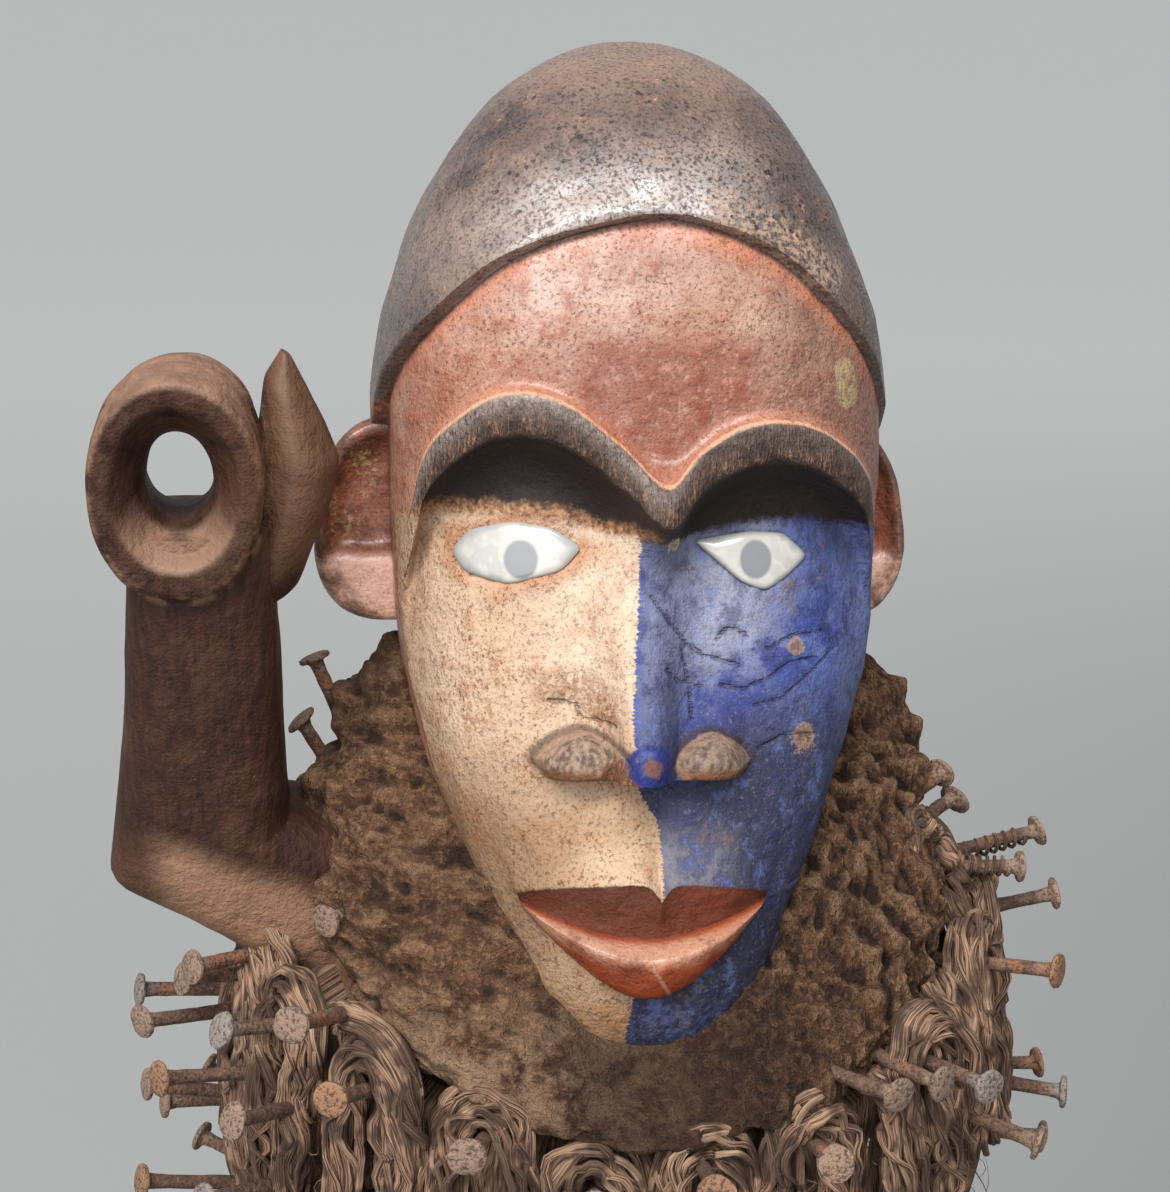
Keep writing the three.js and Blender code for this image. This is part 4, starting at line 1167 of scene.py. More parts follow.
# %% Brows
def brows(look, under):
    """The scorched band of the brows with a pale line along its crest and a painted sheen on its upper part,
    and the black hollow below, laid over under.
    """
    finish = look.finish
    drop = look.zone["below_brow"] + (look.fine - 0.5) * 1.3
    hatch = finish.noise(finish.stretched(look.place, 1.6, 0.5, 0.3), 1, 2, 0.6)
    band = Layers(finish, (54, 42, 38)).over(look.middling.between(0.3, 0.7), (88, 71, 63))
    # Painted sheen: the upper part of each brow band is paler, as lit from above.
    right_crest_sheen = drop.between(7, 1) * look.fine.between(0.2, 0.7) * look.x.between(16, -8)
    band.over(right_crest_sheen * 0.8, (158, 142, 132))
    left_crest_sheen = drop.between(8, 1) * look.fine.between(0.3, 0.7) * look.x.between(8, 24)
    band.over(left_crest_sheen * 0.55, (130, 114, 104))
    strokes = hatch.between(0.5, 0.62) * drop.between(3.5, 6.5) * drop.between(10.2, 8.8)
    band.over(strokes * look.middling.between(0.3, 0.6) * 0.65, (156, 116, 88))
    hollow = Layers(finish, (42, 33, 30))
    hollow.over(look.middling.between(0.5, 0.75) * 0.6, (52, 40, 34))
    hollow.over(look.speck.between(0.63, 0.72) * 0.35, (112, 88, 70))
    made = Layers(finish, under)
    made.over(drop.between(-1.3, -0.6) * look.fine.between(0.25, 0.5) * 0.85, (208, 156, 126))
    made.over(drop.between(-0.4, 0.3), band.top)
    made.over(drop.between(9.4, 11), hollow.top)
    return made.top, hatch


# %% The two paints
def cream_paint(look):
    """Cream: palest beside the nose, sandy and specked below, tan towards the jaw and round the eye."""
    cream = Layers(look.finish, (180, 150, 122))
    cream.over(look.wide.between(0.3, 0.65), (200, 172, 146))
    pale = look.x.between(-40, -16) * look.z.between(76, 94)
    cream.over(look.z.between(84, 56) * look.cloud.between(0.25, 0.6) * 0.8, (158, 128, 98))
    above_lip = look.z.between(60, 48) * look.z.between(38, 44) * look.x.between(-30, -14)
    cream.over(above_lip * look.middling.between(0.35, 0.6) * 0.7, (192, 162, 134))
    cream.over(look.middling.between(0.5, 0.66) * 0.6, (170, 124, 88))
    cream.over(look.cloud.between(0.5, 0.62) * look.fine.between(0.4, 0.6) * 0.6, (150, 100, 66))
    cream.over(pale * look.cloud.between(0.85, 0.35) * 0.75, (214, 192, 170))
    jaw = look.z.between(84, 44) * look.x.between(-12, -36)
    cream.over(jaw * (0.35 + look.fine * 0.6), (124, 92, 64))
    edge = look.x.between(-50, -66) + look.z.between(16, 4)
    cream.over(edge.least(1) * (0.25 + look.fine * 0.5), (152, 108, 72))
    near_eye = look.zone["eye_share"].between(1.7, 1.02) * look.middling.between(0.25, 0.6)
    cream.over(near_eye * 0.7, (166, 110, 74))
    stain = look.gap_to([(-27, 90), (-20, 92), (-14, 87)], 9).between(8, 2) * look.fine.between(0.35, 0.6)
    cream.over(stain * 0.7, (132, 88, 60))
    sprinkled = look.speck.between(0.52, 0.62) * (look.middling.between(0.4, 0.6) * 0.7 + 0.3)
    sprinkled = sprinkled * (1 - pale * 0.5)
    return cream.over(sprinkled * 0.7, (104, 72, 50)).top


def blue_paint(look, split):
    """Blue: dust-grey near the nose and under the eye, ultramarine over the cheek, nearly navy low down, with
    a painted shadow under the nose and a painted reflection along the cheek's outer edge.
    """
    blue = Layers(look.finish, (60, 64, 100)).over(look.wide.between(0.35, 0.65), (80, 84, 122))
    pale_patch = look.x.between(44, 20) * look.z.between(82, 106)
    blue.over(pale_patch * look.cloud.between(0.2, 0.55) * 0.9, (142, 145, 164))
    blue.over(look.x.between(18, 3) * look.z.between(76, 90) * 0.6, (92, 98, 130))
    band = look.x.between(26, 42) * look.cloud.between(0.7, 0.4)
    blue.over(band * 0.75, (84, 100, 158))
    streak = look.gap_to([(14, 86), (30, 96), (50, 108)], 12).between(11, 3)
    blue.over(streak * look.middling.between(0.35, 0.55) * 0.75, (44, 58, 128))
    low = look.z.between(94, 72) * look.x.between(6, 20)
    blue.over(low * (0.6 + look.fine * 0.4), (50, 50, 70))
    # Painted shadow: deep navy below the nose's flat underside.
    shadow_under_nose = look.z.between(71, 67) * look.x.between(36, 20)
    blue.over(shadow_under_nose * 0.8, (50, 50, 70))
    grey = look.z.between(62, 50) * look.z.between(38, 46) * look.x.between(26, 10)
    blue.over(grey * look.middling.between(0.35, 0.6) * 0.75, (130, 126, 128))
    blue.over(look.z.between(40, 26) * 0.85, (46, 45, 58))
    blue.over(look.z.between(16, 6) * look.fine.between(0.35, 0.6) * 0.6, (70, 82, 122))
    # Painted reflection: paler blue along the cheek's outer edge.
    blue.over(look.x.between(48, 57) * look.fine.between(0.35, 0.6) * 0.55, (114, 122, 158))
    blue.over(look.middling.between(0.5, 0.66) * 0.6, (42, 46, 84))
    blue.over(look.middling.between(0.46, 0.34) * 0.5, (96, 110, 164))
    blue.over(look.speck.between(0.54, 0.66) * look.fine.between(0.4, 0.6) * 0.55, (142, 142, 156))
    blue.over(look.speck.between(0.42, 0.33) * 0.45, (32, 33, 52))
    scuffed = look.cloud.between(0.58, 0.66) * look.fine.between(0.5, 0.6)
    blue.over(scuffed * 0.7, (104, 84, 74))
    brushed = split.between(3.2, 0.4) * look.ticks.between(0.4, 0.62) * look.z.between(70, 86)
    return blue.over(brushed * 0.6, (46, 66, 150)).top


# %% Lips and nose
def lips(look, under):
    """Red-brown lips, glossy and orange on the lower one, with a scratch across it, a painted highlight on
    top of the lower lip and painted shade on the upper one.
    """
    parting = look.zone["below_parting"]
    inside = look.zone["in_lips"]
    made = Layers(look.finish, (152, 66, 30)).over(look.cloud.between(0.4, 0.65), (124, 48, 22))
    # Painted highlight: the top of the lower lip is paler, as lit from above, less so towards the blue side.
    lit_lip_top = parting.between(0.2, 1.6) * (parting + (look.middling - 0.5) * 6).between(8, 2.5)
    made.over(lit_lip_top * (0.3 + look.fine * 0.7), (190, 150, 124))
    made.over(lit_lip_top * look.x.between(6, 24) * 0.45, (158, 92, 64))
    # The upper lip is darker brown: partly its own colour, partly painted shade, as it faces down.
    made.over(parting.between(1, -0.5), (96, 46, 27))
    made.over(parting.between(-2.5, -6) * look.x.between(-4, 14) * 0.6, (128, 58, 36))
    made.over(look.middling.between(0.56, 0.72) * 0.5, (78, 36, 26))
    made.over(look.speck.between(0.6, 0.72) * 0.4, (178, 122, 94))
    made.over(look.gap_to([(-2.4, 24), (3.4, 14.5)], 0.8).between(0.7, 0.2) * 0.6, (190, 140, 112))
    made.over((inside + (look.fine - 0.5)).between(1.3, 0.2) * 0.55, (70, 40, 34))
    edge = inside + (look.fine - 0.5) * 1.1
    return Layers(look.finish, under).over(edge.between(-0.3, 0.3), made.top).top


def nose_tip(look, under):
    """The bare wings with painted shade in the groove round them, brown below, and the blue tip with its
    chip.
    """
    finish = look.finish
    wings = look.zone["in_wings"] + (look.fine - 0.5) * 1.2
    streak = finish.noise(finish.stretched(look.place, 0.5, 0.7, 0.3), 1, 3)
    bare = Layers(finish, (90, 72, 62)).over(streak.between(0.35, 0.65), (152, 128, 110))
    bare.over((wings + (look.middling - 0.5) * 3).between(2.2, 0.5) * 0.6, (164, 130, 106))
    bare.over(look.x.between(0, 8) * 0.35, (84, 70, 64))
    bare.over((look.z + (look.fine - 0.5) * 4).between(73.5, 71) * 0.8, (120, 76, 48))
    made = Layers(finish, under)
    # Painted shade in the groove round the wings.
    made.over(wings.between(-2, -0.6) * look.z.between(70, 74) * 0.7, (56, 40, 36))
    made.over(wings.between(0, 0.6), bare.top)
    bridge = look.gap_to([(-11, 72.5), (-8, 73)], 3).between(4.4, 3)
    made.over(bridge * look.fine.between(0.35, 0.6), (112, 70, 48))
    tip = look.gap_to([(-4, 75), (-2.6, 74.4)], 3)
    made.over(tip.between(6.2, 4.6) * look.middling.between(0.25, 0.5), (38, 46, 108))
    return made.over(tip.between(2.4, 1.6) * 0.8, (110, 72, 52)).top


# %% Chips, ears and cap
CHIPS = [  # place in front view, radius and colour
    ((39.5, 77.5), 3.4, (150, 120, 102)), ((3.5, 128.1), 1.6, (206, 188, 150)),
    ((37, 101), 1.9, (150, 120, 104)),
]


def chips(look, under):
    """Small losses in the paint, each a worn ring round a darker middle."""
    made = Layers(look.finish, under)
    for (x, z), size, tint in CHIPS:
        gap = look.gap_to([(x, z), (x + 1, z)], size * 2.4) + (look.middling - 0.5) * size * 2
        made.over(gap.between(size, size * 0.75) * 0.85, tint)
        made.over(gap.between(size * 0.5, size * 0.2) * 0.6, (84, 64, 58))
    return made.top


def ears(look):
    """Red in the dish with a yellow-green chip, dark and worn on the rim, pink on the flat lobe."""
    up, rim = look.zone["up_ear"], look.zone["ear_share"]
    made = Layers(look.finish, (144, 86, 62))
    made.over(look.middling.between(0.4, 0.65) * 0.8, (84, 46, 36))
    chipped = (look.fine - 0.5 + look.cloud).between(0.6, 0.72) * up.between(-0.35, 0)
    made.over(chipped * 0.8, (166, 150, 98))
    made.over(up.between(-0.28, -0.42) * (0.7 + look.fine * 0.3), (232, 184, 162))
    worn = rim.between(0.78, 0.9) * look.middling.between(0.3, 0.6)
    return made.over(worn * 0.85, (92, 66, 52)).top


def cap(look):
    """Polished, mottled dark wood with pits and a painted sheen at the front and left, rubbed tan at the
    right of the rim and chipped at the top.
    """
    finish = look.finish
    made = Layers(finish, (78, 60, 53)).over(look.wide.between(0.38, 0.62), (112, 90, 79))
    made.over(look.cloud.between(0.48, 0.6) * 0.75, (46, 38, 37))
    made.over(look.middling.between(0.5, 0.64) * 0.5, (134, 106, 92))
    above_brow = look.x.between(8, -16) * look.z.between(222, 204) * look.middling.between(0.3, 0.55)
    made.over(above_brow * 0.6, (134, 118, 108))
    flank = look.x.between(-24, -50) * look.z.between(215, 180) * look.cloud.between(0.2, 0.6)
    made.over(flank * 0.6, (66, 60, 56))
    made.over(look.x.between(20, 44) * 0.5, (74, 58, 52))
    made.over(look.z.between(236, 252) * 0.6, (144, 116, 100))
    made.over(look.speck.between(0.5, 0.66) * 0.5, (48, 38, 36))
    # Painted sheen: paler patches on the left flank and across the front above the rim, where the reflection
    # lies.
    sheen_on_flank = look.gap_to([(-44, 196), (-30, 214)], 20).between(20, 4)
    made.over(sheen_on_flank * look.middling.between(0.3, 0.55) * 0.45, (136, 114, 102))
    sheen_patch = look.gap_to([(-34, 206), (-12, 215), (16, 218)], 16).between(20, 2)
    sheen_patch = sheen_patch * look.speck.between(0.64, 0.44) * (0.1 + look.middling * 0.5)
    made.over(sheen_patch, (180, 170, 162))
    rubbed = look.gap_to([(16, 212), (30, 207), (44, 197)], 12).between(9, 3)
    made.over(rubbed * look.fine.between(0.44, 0.58) * 0.65, (180, 150, 128))
    made.over(look.speck.between(0.66, 0.72) * look.cloud.between(0.3, 0.6), (28, 20, 18))
    return made.over((look.fine * look.middling).between(0.37, 0.42) * 0.7, (188, 144, 108)).top


# %% [markdown]
# ## Joining the zones
#
# Where zones meet, the finish needs every layer and the masks between them. That is a web of a thousand
# nodes, which is slow to draw, and most faces lie wholly inside one zone, where all but a few layers are
# hidden. So there are six finishes made from the same functions: one with everything for the borders and
# the ears, and five short ones. Each face takes a short one if all its points lie well inside that zone.
# The colours agree exactly at the joins, because every layer depends on the place alone.

# %% Masks and bumps of the wood
def worn_pits(look):
    """1 in small round pits that gather in patches, 0 elsewhere."""
    finish = look.finish
    place = finish.vector("ADD", look.place, finish.noise_vector(look.place, 4, 1.4))
    inputs = {"Vector": place, "Scale": 1 / 2.4}
    dots = finish.node("ShaderNodeTexVoronoi", {"feature": "F1"}, inputs, output="Distance")
    gathered = look.gap_to([(-26, 226), (8, 232), (30, 214)], 30).between(40, 12)
    return dots.between(0.32, 0.12) * look.cloud.between(0.42, 0.56) * gathered


def wood_look(name):
    """A finish for wood, with nothing laid on it yet."""
    return Look(Finish(name, Specular_IOR_Level=0.22, Coat_IOR=1.9, Coat_Roughness=0.3))


def uneven(look):
    """The small unevenness of all the wood: fine grit, then softer lumps."""
    return look.finish.bump(look.middling, 2.0, look.finish.bump(look.speck * 0.4 + look.fine * 0.6, 0.62))


def finished(look, made, normal, glossy):
    """Dusty specks over the head, and a sheen where it is glossy, broken up by specks and hollows."""
    specks = look.speck.between(0.5, 0.68) * look.zone["on_head"] * 0.35
    made = look.finish.blend(specks, made, colour(136, 106, 86), "MULTIPLY")
    unbroken = look.speck.between(0.62, 0.42) * look.middling.between(0.72, 0.36) * 0.8 + 0.2
    sockets = {"Roughness": 0.68 + (look.fine - 0.5) * 0.35, "Coat_Weight": glossy * unbroken + 0.04}
    return look.finish.coat(Base_Color=made, Normal=normal, **sockets)


def in_paint(look):
    """Millimetres inside the paint, with an edge worn by noise."""
    return look.zone["in_paint"] + (look.middling - 0.5) * 7 + (look.fine - 0.5) * 3


def past_split(look):
    """Millimetres past the line between the paints, with brush ticks."""
    return look.zone["past_split"] + (look.ticks - 0.5) * 2.4


def creased(look, folds):
    """1 on the thin dark lines of some folds, where there is paint."""
    gaps = [look.gap_to(corners, 0.7) for corners, _, _ in folds]
    for gap in gaps[1:]:
        gaps[0] = gaps[0].least(gap)
    return gaps[0].between(0.8, 0.1) * look.ticks.between(0.35, 0.55) * in_paint(look).between(1, 4)


def face_details(look, made, folds):
    """Paint with its folds, the lips, the nose and the chips laid over it."""
    made = look.finish.blend(folds * 0.35, made, colour(52, 42, 44))
    return chips(look, nose_tip(look, lips(look, made)))


def grain(look):
    return look.finish.noise(look.finish.stretched(look.place, 0.5, 0.5, 0.04), 1, 3)


def on_brow(look):
    return look.zone["below_brow"].between(-0.5, 1) * look.zone["below_brow"].between(12, 9)


def cap_sheen(look):
    return 1 - look.finish.axis(look.place, "Y").between(0, 50) * 0.7


# %% Six finishes for the wood
def mixed_wood():
    """The finish with every layer, for faces that lie on the borders of the zones, and the ears."""
    look = wood_look("mixed_wood")
    finish, zone, fine = look.finish, look.zone, look.fine
    made = finish.blend(zone["on_head"], bare_wood(look), forehead(look))
    made, hatch = brows(look, made)
    split, painted = past_split(look), in_paint(look)
    paint = finish.blend(split.between(-0.25, 0.25), cream_paint(look), blue_paint(look, split))
    ragged = finish.blend(fine.between(0.3, 0.7), colour(96, 66, 50), colour(178, 132, 96))
    made = finish.blend(painted.between(-3.2, 0.4) * zone["past_split"].between(10, -3), made, ragged)
    made = finish.blend(painted.between(0, 2.6), made, paint)
    folds = creased(look, CREASES)
    made = face_details(look, made, folds)
    made = finish.blend(zone["on_ear"].between(0.4, 0.6), made, ears(look))
    pits = worn_pits(look)
    capped = (zone["above_rim"] + (fine - 0.5) * 0.8).between(-0.2, 0.3)
    rim = (zone["above_rim"] + (look.middling - 0.5) * 3).between(-2.2, -0.2)
    made = finish.blend(rim * 0.85, made, colour(62, 34, 25))
    made = finish.blend(capped, made, finish.blend(pits * 0.8, cap(look), colour(30, 22, 20)))

    bare, off_head = painted.between(2, -2), 1 - zone["on_head"]
    normal = finish.bump(grain(look) * bare * off_head, 0.4, uneven(look))
    normal = finish.bump(1 - folds.most(pits * capped), 0.6, normal)
    normal = finish.bump(hatch * on_brow(look), 1.4, normal)
    skin = zone["on_head"] * bare * zone["below_brow"].between(2, -1)
    glossy = (capped * cap_sheen(look)).most(skin * 0.5).most(zone["in_lips"].between(0, 1) * 0.5)
    return finished(look, made, normal, glossy.most(off_head * 0.04))


def bare_limbs():
    """Arms, trunk, legs and base: bare wood alone."""
    look = wood_look("bare_wood")
    return finished(look, bare_wood(look), look.finish.bump(grain(look), 0.4, uneven(look)), 0.04)


def plain_skin():
    """Forehead, brows and the back of the head, clear of paint and cap."""
    look = wood_look("skin_and_brows")
    made, hatch = brows(look, forehead(look))
    normal = look.finish.bump(hatch * on_brow(look), 1.4, uneven(look))
    return finished(look, made, normal, look.zone["below_brow"].between(2, -1) * 0.5)


def plain_paint(name, folds):
    """One side of the face, clear of the paint's edges."""
    look = wood_look(name)
    paint = cream_paint(look) if name == "cream_paint" else blue_paint(look, past_split(look))
    folds = creased(look, folds)
    normal = look.finish.bump(1 - folds, 0.6, uneven(look))
    glossy = look.zone["in_lips"].between(0, 1) * 0.5
    return finished(look, face_details(look, paint, folds), normal, glossy)


def plain_cap():
    """The cap, clear of its rim."""
    look = wood_look("polished_cap")
    pits = worn_pits(look)
    made = look.finish.blend(pits * 0.8, cap(look), colour(30, 22, 20))
    normal = look.finish.bump(1 - pits, 0.6, uneven(look))
    return finished(look, made, normal, cap_sheen(look).most(0.5))


# %% Give each face its finish
def over_faces(mesh, inside):
    """For each face, whether all of its points are inside."""
    corners = np.zeros(len(mesh.loops), np.int32)
    mesh.loops.foreach_get("vertex_index", corners)
    starts = np.zeros(len(mesh.polygons), np.int32)
    mesh.polygons.foreach_get("loop_start", starts)
    return np.logical_and.reduceat(inside[corners], starts)


head_only = (ZONES["on_head"] == 1) & (ZONES["on_ear"] == 0)
on_paint = head_only & (ZONES["in_paint"] > 8) & (ZONES["below_brow"] > 12)
ZONE_FINISHES = [
    (bare_limbs(), (ZONES["on_head"] == 0) & (ZONES["on_ear"] == 0)),
    (plain_skin(), head_only & (ZONES["in_paint"] < -9) & (ZONES["above_rim"] < -4)),
    (plain_paint("cream_paint", CREASES[:1]), on_paint & (ZONES["past_split"] < -1.6)),
    (plain_paint("blue_paint", CREASES[1:]), on_paint & (ZONES["past_split"] > 1.6)),
    (plain_cap(), head_only & (ZONES["above_rim"] > 1)),
]
finish_piece(figure, mixed_wood(), "carved_wood", "figure")
chosen = np.zeros(len(figure.data.polygons), np.int32)
for number, (material, inside) in enumerate(ZONE_FINISHES, 1):
    figure.data.materials.append(material)
    chosen[over_faces(figure.data, inside)] = number
figure.data.polygons.foreach_set("material_index", chosen)
print("faces by finish:", np.bincount(chosen).tolist())

# %% [markdown]
# ## Setting the eyes
#
# A plate follows the curve of the face and stands a little proud of it, domed like a pebble. Rings of
# the outline shrink towards the middle for the front, and one more ring sinks the edge into its pocket.


# %% Eyes
def face_point(x, z, out):
    """A point out millimetres in front of the carved face, in the head's frame."""
    degrees = degrees_at(x, z)
    along = pole_angle(z)
    depth = (head_back(along) - head_front(along)) / 2
    radius = rounded_radius(np.radians(degrees), FACE_SQUARENESS)
    y = (head_front(along) + head_back(along)) / 2 - depth * radius * np.cos(np.radians(degrees))
    return np.stack([x, y - relief(degrees, x, z, with_pockets=False) - out, z], axis=-1)


EYE_RINGS = [  # share of the outline, and millimetres in front of the face
    (0.04, 1.5), (0.3, 1.45), (0.55, 1.3), (0.75, 1.1), (0.88, 0.85), (0.96, 0.5), (1, 0.1), (1, -1.2),
    (0.6, -1.6), (0.05, -1.6),
]


def eye_plate(eye):
    """Rings at middle + share * outline, each laid on the face and lifted off it."""
    share, out = np.array(EYE_RINGS).T[:, :, None]
    x = eye["middle"][0] + share * eye["outline"][:, 0]
    z = eye["middle"][1] + share * eye["outline"][:, 1]
    return tubes(lean_back(face_point(x, z, out + 0 * x))[None])


def inlaid_glass(name, eye):
    """White glass with a grey pupil, and a thin grey shade along its edge."""
    finish = Finish(f"{name}_glass", Roughness=0.18, Coat_Weight=0.4, Coat_Roughness=0.08)
    place = finish.place((0, 0, HEAD_HEIGHT_OFF_GROUND), -HEAD_PITCH)
    pupil = [a + b for a, b in zip(eye["middle"], eye["pupil"])]
    offset = finish.vector("SUBTRACT", place, (pupil[0], 0, pupil[1]))
    oval = finish.stretched(offset, 1 / 4.2, 0, 1 / 4.9)
    from_pupil = finish.node("ShaderNodeVectorMath", {"operation": "LENGTH"}, {0: oval}, output="Value")
    cloudy = finish.noise(place, 6, 2)
    white = finish.blend(cloudy.between(0.3, 0.7), colour(178, 176, 168), colour(204, 200, 190))
    edge = (finish.attribute("eye_share") + (cloudy - 0.5) * 0.3).between(0.82, 0.98)
    white = finish.blend(edge * 0.65, white, colour(138, 138, 136))
    white = finish.blend(cloudy.between(0.5, 0.62) * 0.45, white, colour(146, 148, 148))
    look = finish.blend(from_pupil.between(1.12, 0.9) * 0.95, white, colour(122, 124, 127))
    return finish.coat(Base_Color=look)


for name, eye in EYES.items():
    plate = mesh_object(f"{name}_plate", eye_plate(eye))
    local = lean_forward(points_of(plate.data))
    set_attribute(plate.data, "eye_share", share_of_eye(local[:, 0], local[:, 2], eye))
    finish_piece(plate, inlaid_glass(name, eye), "inlaid_eye", name)

# %% [markdown]
# ## The collar of caked earth
#
# Earth, resin and fibre were pressed round the neck and dried into a crust. The smooth form is a ring of
# rounded sections, low under the chin and high behind the ears. The crust is noise of three sizes that
# moves every point outwards or inwards, with level ledges on one side and bark-like fibres on the other.
# How far each point stands out from its surroundings is kept as a number, so the finish can paint shade
# into the pits and light onto the crests, and a painted shadow lies under the chin.

# %% Collar
COLLAR_STATIONS = [  # share of the height, half width, half depth, middle
    (0, 69, 70, 2), (0.16, 82, 83, 4), (0.45, 85, 85, 8), (0.74, 79, 76, 14), (0.92, 67, 60, 22),
    (1, 50, 40, 28),
]
collar_half_width, collar_half_depth, collar_middle = (
    curve([(station[0], station[i]) for station in COLLAR_STATIONS]) for i in (1, 2, 3)
)
collar_top = curve([(-90, 678), (-50, 691), (0, 720), (40, 742), (110, 744)])
collar_bottom = curve([(-76, 653), (-40, 665), (0, 685), (40, 697), (110, 697)])


def chin_dip(x, y):
    """The hollow in the collar that leaves the chin free."""
    return 17 * np.exp(-((x / 26) ** 2)) * smoothstep(-y, 25, 50)


def crust(points):
    """Millimetres that the crust stands out at a place, and how bark-like it is there."""
    bark_share = smoothstep(points[..., 0], 0, 36)
    lumps = 3.4 * rough(points, 21, 2, 51)
    crumbs = 2.1 * rough(points, 7, 3, 53)
    ledges = 3.2 * rough(points * [0.35, 0.35, 1.2] + points[..., :1] * [0, 0, 0.35], 6, 3, 54)
    bark = 3.4 * rough(points * [1.3, 1.3, 0.16], 5, 3, 55)
    near_chin = np.exp(-((points[..., 0] / 40) ** 2)) * smoothstep(-points[..., 1], 30, 50)
    height = lumps + crumbs + ledges * (1 - bark_share) + bark * bark_share
    return np.maximum(height * (1 - 0.5 * near_chin) + 1.4 - 2.4 * near_chin, -2.2)


def blurred(height, times):
    """A grid of heights, each averaged with its neighbours a number of times."""
    for _ in range(times):
        height = (np.roll(height, 1, axis=1) + 2 * height + np.roll(height, -1, axis=1)) / 4
        padded = np.pad(height, ((1, 1), (0, 0)), mode="edge")
        height = (padded[:-2] + 2 * height + padded[2:]) / 4
    return height


def collar_surface(rows=150, columns=440):
    """Rounded sections moved along their normals by the crust, and how far each point stands out."""
    around = np.arange(columns) / columns * 2 * math.pi
    share, angle = np.meshgrid(np.linspace(0, 1, rows), around, indexing="ij")
    radius = rounded_radius(angle, 2.1)
    x = collar_half_width(share) * radius * np.sin(angle)
    y = collar_middle(share) - collar_half_depth(share) * radius * np.cos(angle)
    top = collar_top(y) - chin_dip(x, y)
    grid = np.stack([x, y, collar_bottom(y) + (top - collar_bottom(y)) * share], axis=-1)
    height = crust(grid)
    return tubes((grid + normals_of(grid) * height[..., None])[None]), height - blurred(height, 14)


collar, crust_height = collar_surface()
collar_object = mesh_object("caked_collar", collar)
set_attribute(collar_object.data, "crust", np.concatenate([crust_height.ravel(), [0, 0]]))


def caked_earth():
    """Brown earth: painted light on crests and crumbs, painted shade in pits, between crumbs and under the
    chin, ledges on one side and hairs on the other.
    """
    finish = Finish("caked_earth", Roughness=0.95, Specular_IOR_Level=0.25)
    place = finish.place()
    height = finish.attribute("crust")
    x, y = (finish.axis(place, axis) for axis in "XY")
    fine = finish.noise(place, 2.2, 4, 0.7)
    soft = finish.noise(place, 9, 4, 0.6)
    hairs = finish.noise(finish.stretched(place, 1, 1, 0.12), 1.5, 3, 0.6)
    strata = finish.noise(finish.stretched(place, 0.3, 0.3, 1), 2.2, 4, 0.7)
    streaks = finish.blend(x.between(0, 36), strata, hairs)
    look = Layers(finish, (76, 50, 34)).over(soft.between(0.35, 0.65), (108, 77, 55))
    # Pale and dark crumbs that follow the fine bump: partly the earth's own colour, partly painted light and
    # shade.
    look.over(fine.between(0.5, 0.66) * 0.45, (154, 122, 94))
    look.over(streaks.between(0.52, 0.64) * 0.45, (140, 104, 74))
    look.over(fine.between(0.48, 0.36) * 0.45, (50, 35, 28))
    look.over(streaks.between(0.48, 0.38) * 0.45, (50, 34, 26))
    # Painted light on the crests and painted shade in the pits.
    look.over(height.between(0.4, 1.9) * 0.5, (150, 118, 90))
    look.over(height.between(0, -1.5) * 0.85, (34, 23, 18))
    pale_patch = finish.axis(place, "Z").between(690, 668) * x.between(20, -20) * soft.between(0.4, 0.6)
    look.over(pale_patch * 0.5, (160, 132, 106))
    # Painted shadow of the chin on the collar.
    chin_shadow = x.math("ABSOLUTE", x - 6).between(46, 18) * y.between(-38, -62)
    look.over(chin_shadow * 0.68, (32, 20, 15))
    normal = finish.bump(fine + streaks * 0.6, 3.2)
    return finish.coat(Base_Color=look.top, Normal=finish.bump(hairs, 1.0, normal))


finish_piece(collar_object, caked_earth(), "caked_earth", "collar")

# %% [markdown]
# ## Fibre
#
# The hanks are bundles of plant fibre. A bundle is a handful of strands that run side by side along one
# path and turn slowly round each other. Every strand is a closed tube. Each point also keeps its place on
# the strand as if it were pulled straight, and the finish draws its fine streaks in that straight space,
# so they follow every bend.


# %% Bundles
class Fibres(NamedTuple):
    """A surface and the place of each of its points on the straightened strands."""

    surface: Surface
    straight: np.ndarray


def smooth_path(knots, steps, rounding=3):
    """Even steps along a bent line through knots, each averaged with its neighbours rounding times."""
    knots = np.array(knots, float)
    along = np.concatenate([[0], np.cumsum(np.linalg.norm(np.diff(knots, axis=0), axis=1))])
    even = np.linspace(0, along[-1], steps)
    path = np.stack([np.interp(even, along, knots[:, axis]) for axis in range(3)], axis=1)
    for _ in range(rounding):
        path[1:-1] = (path[:-2] + 2 * path[1:-1] + path[2:]) / 4
    return path


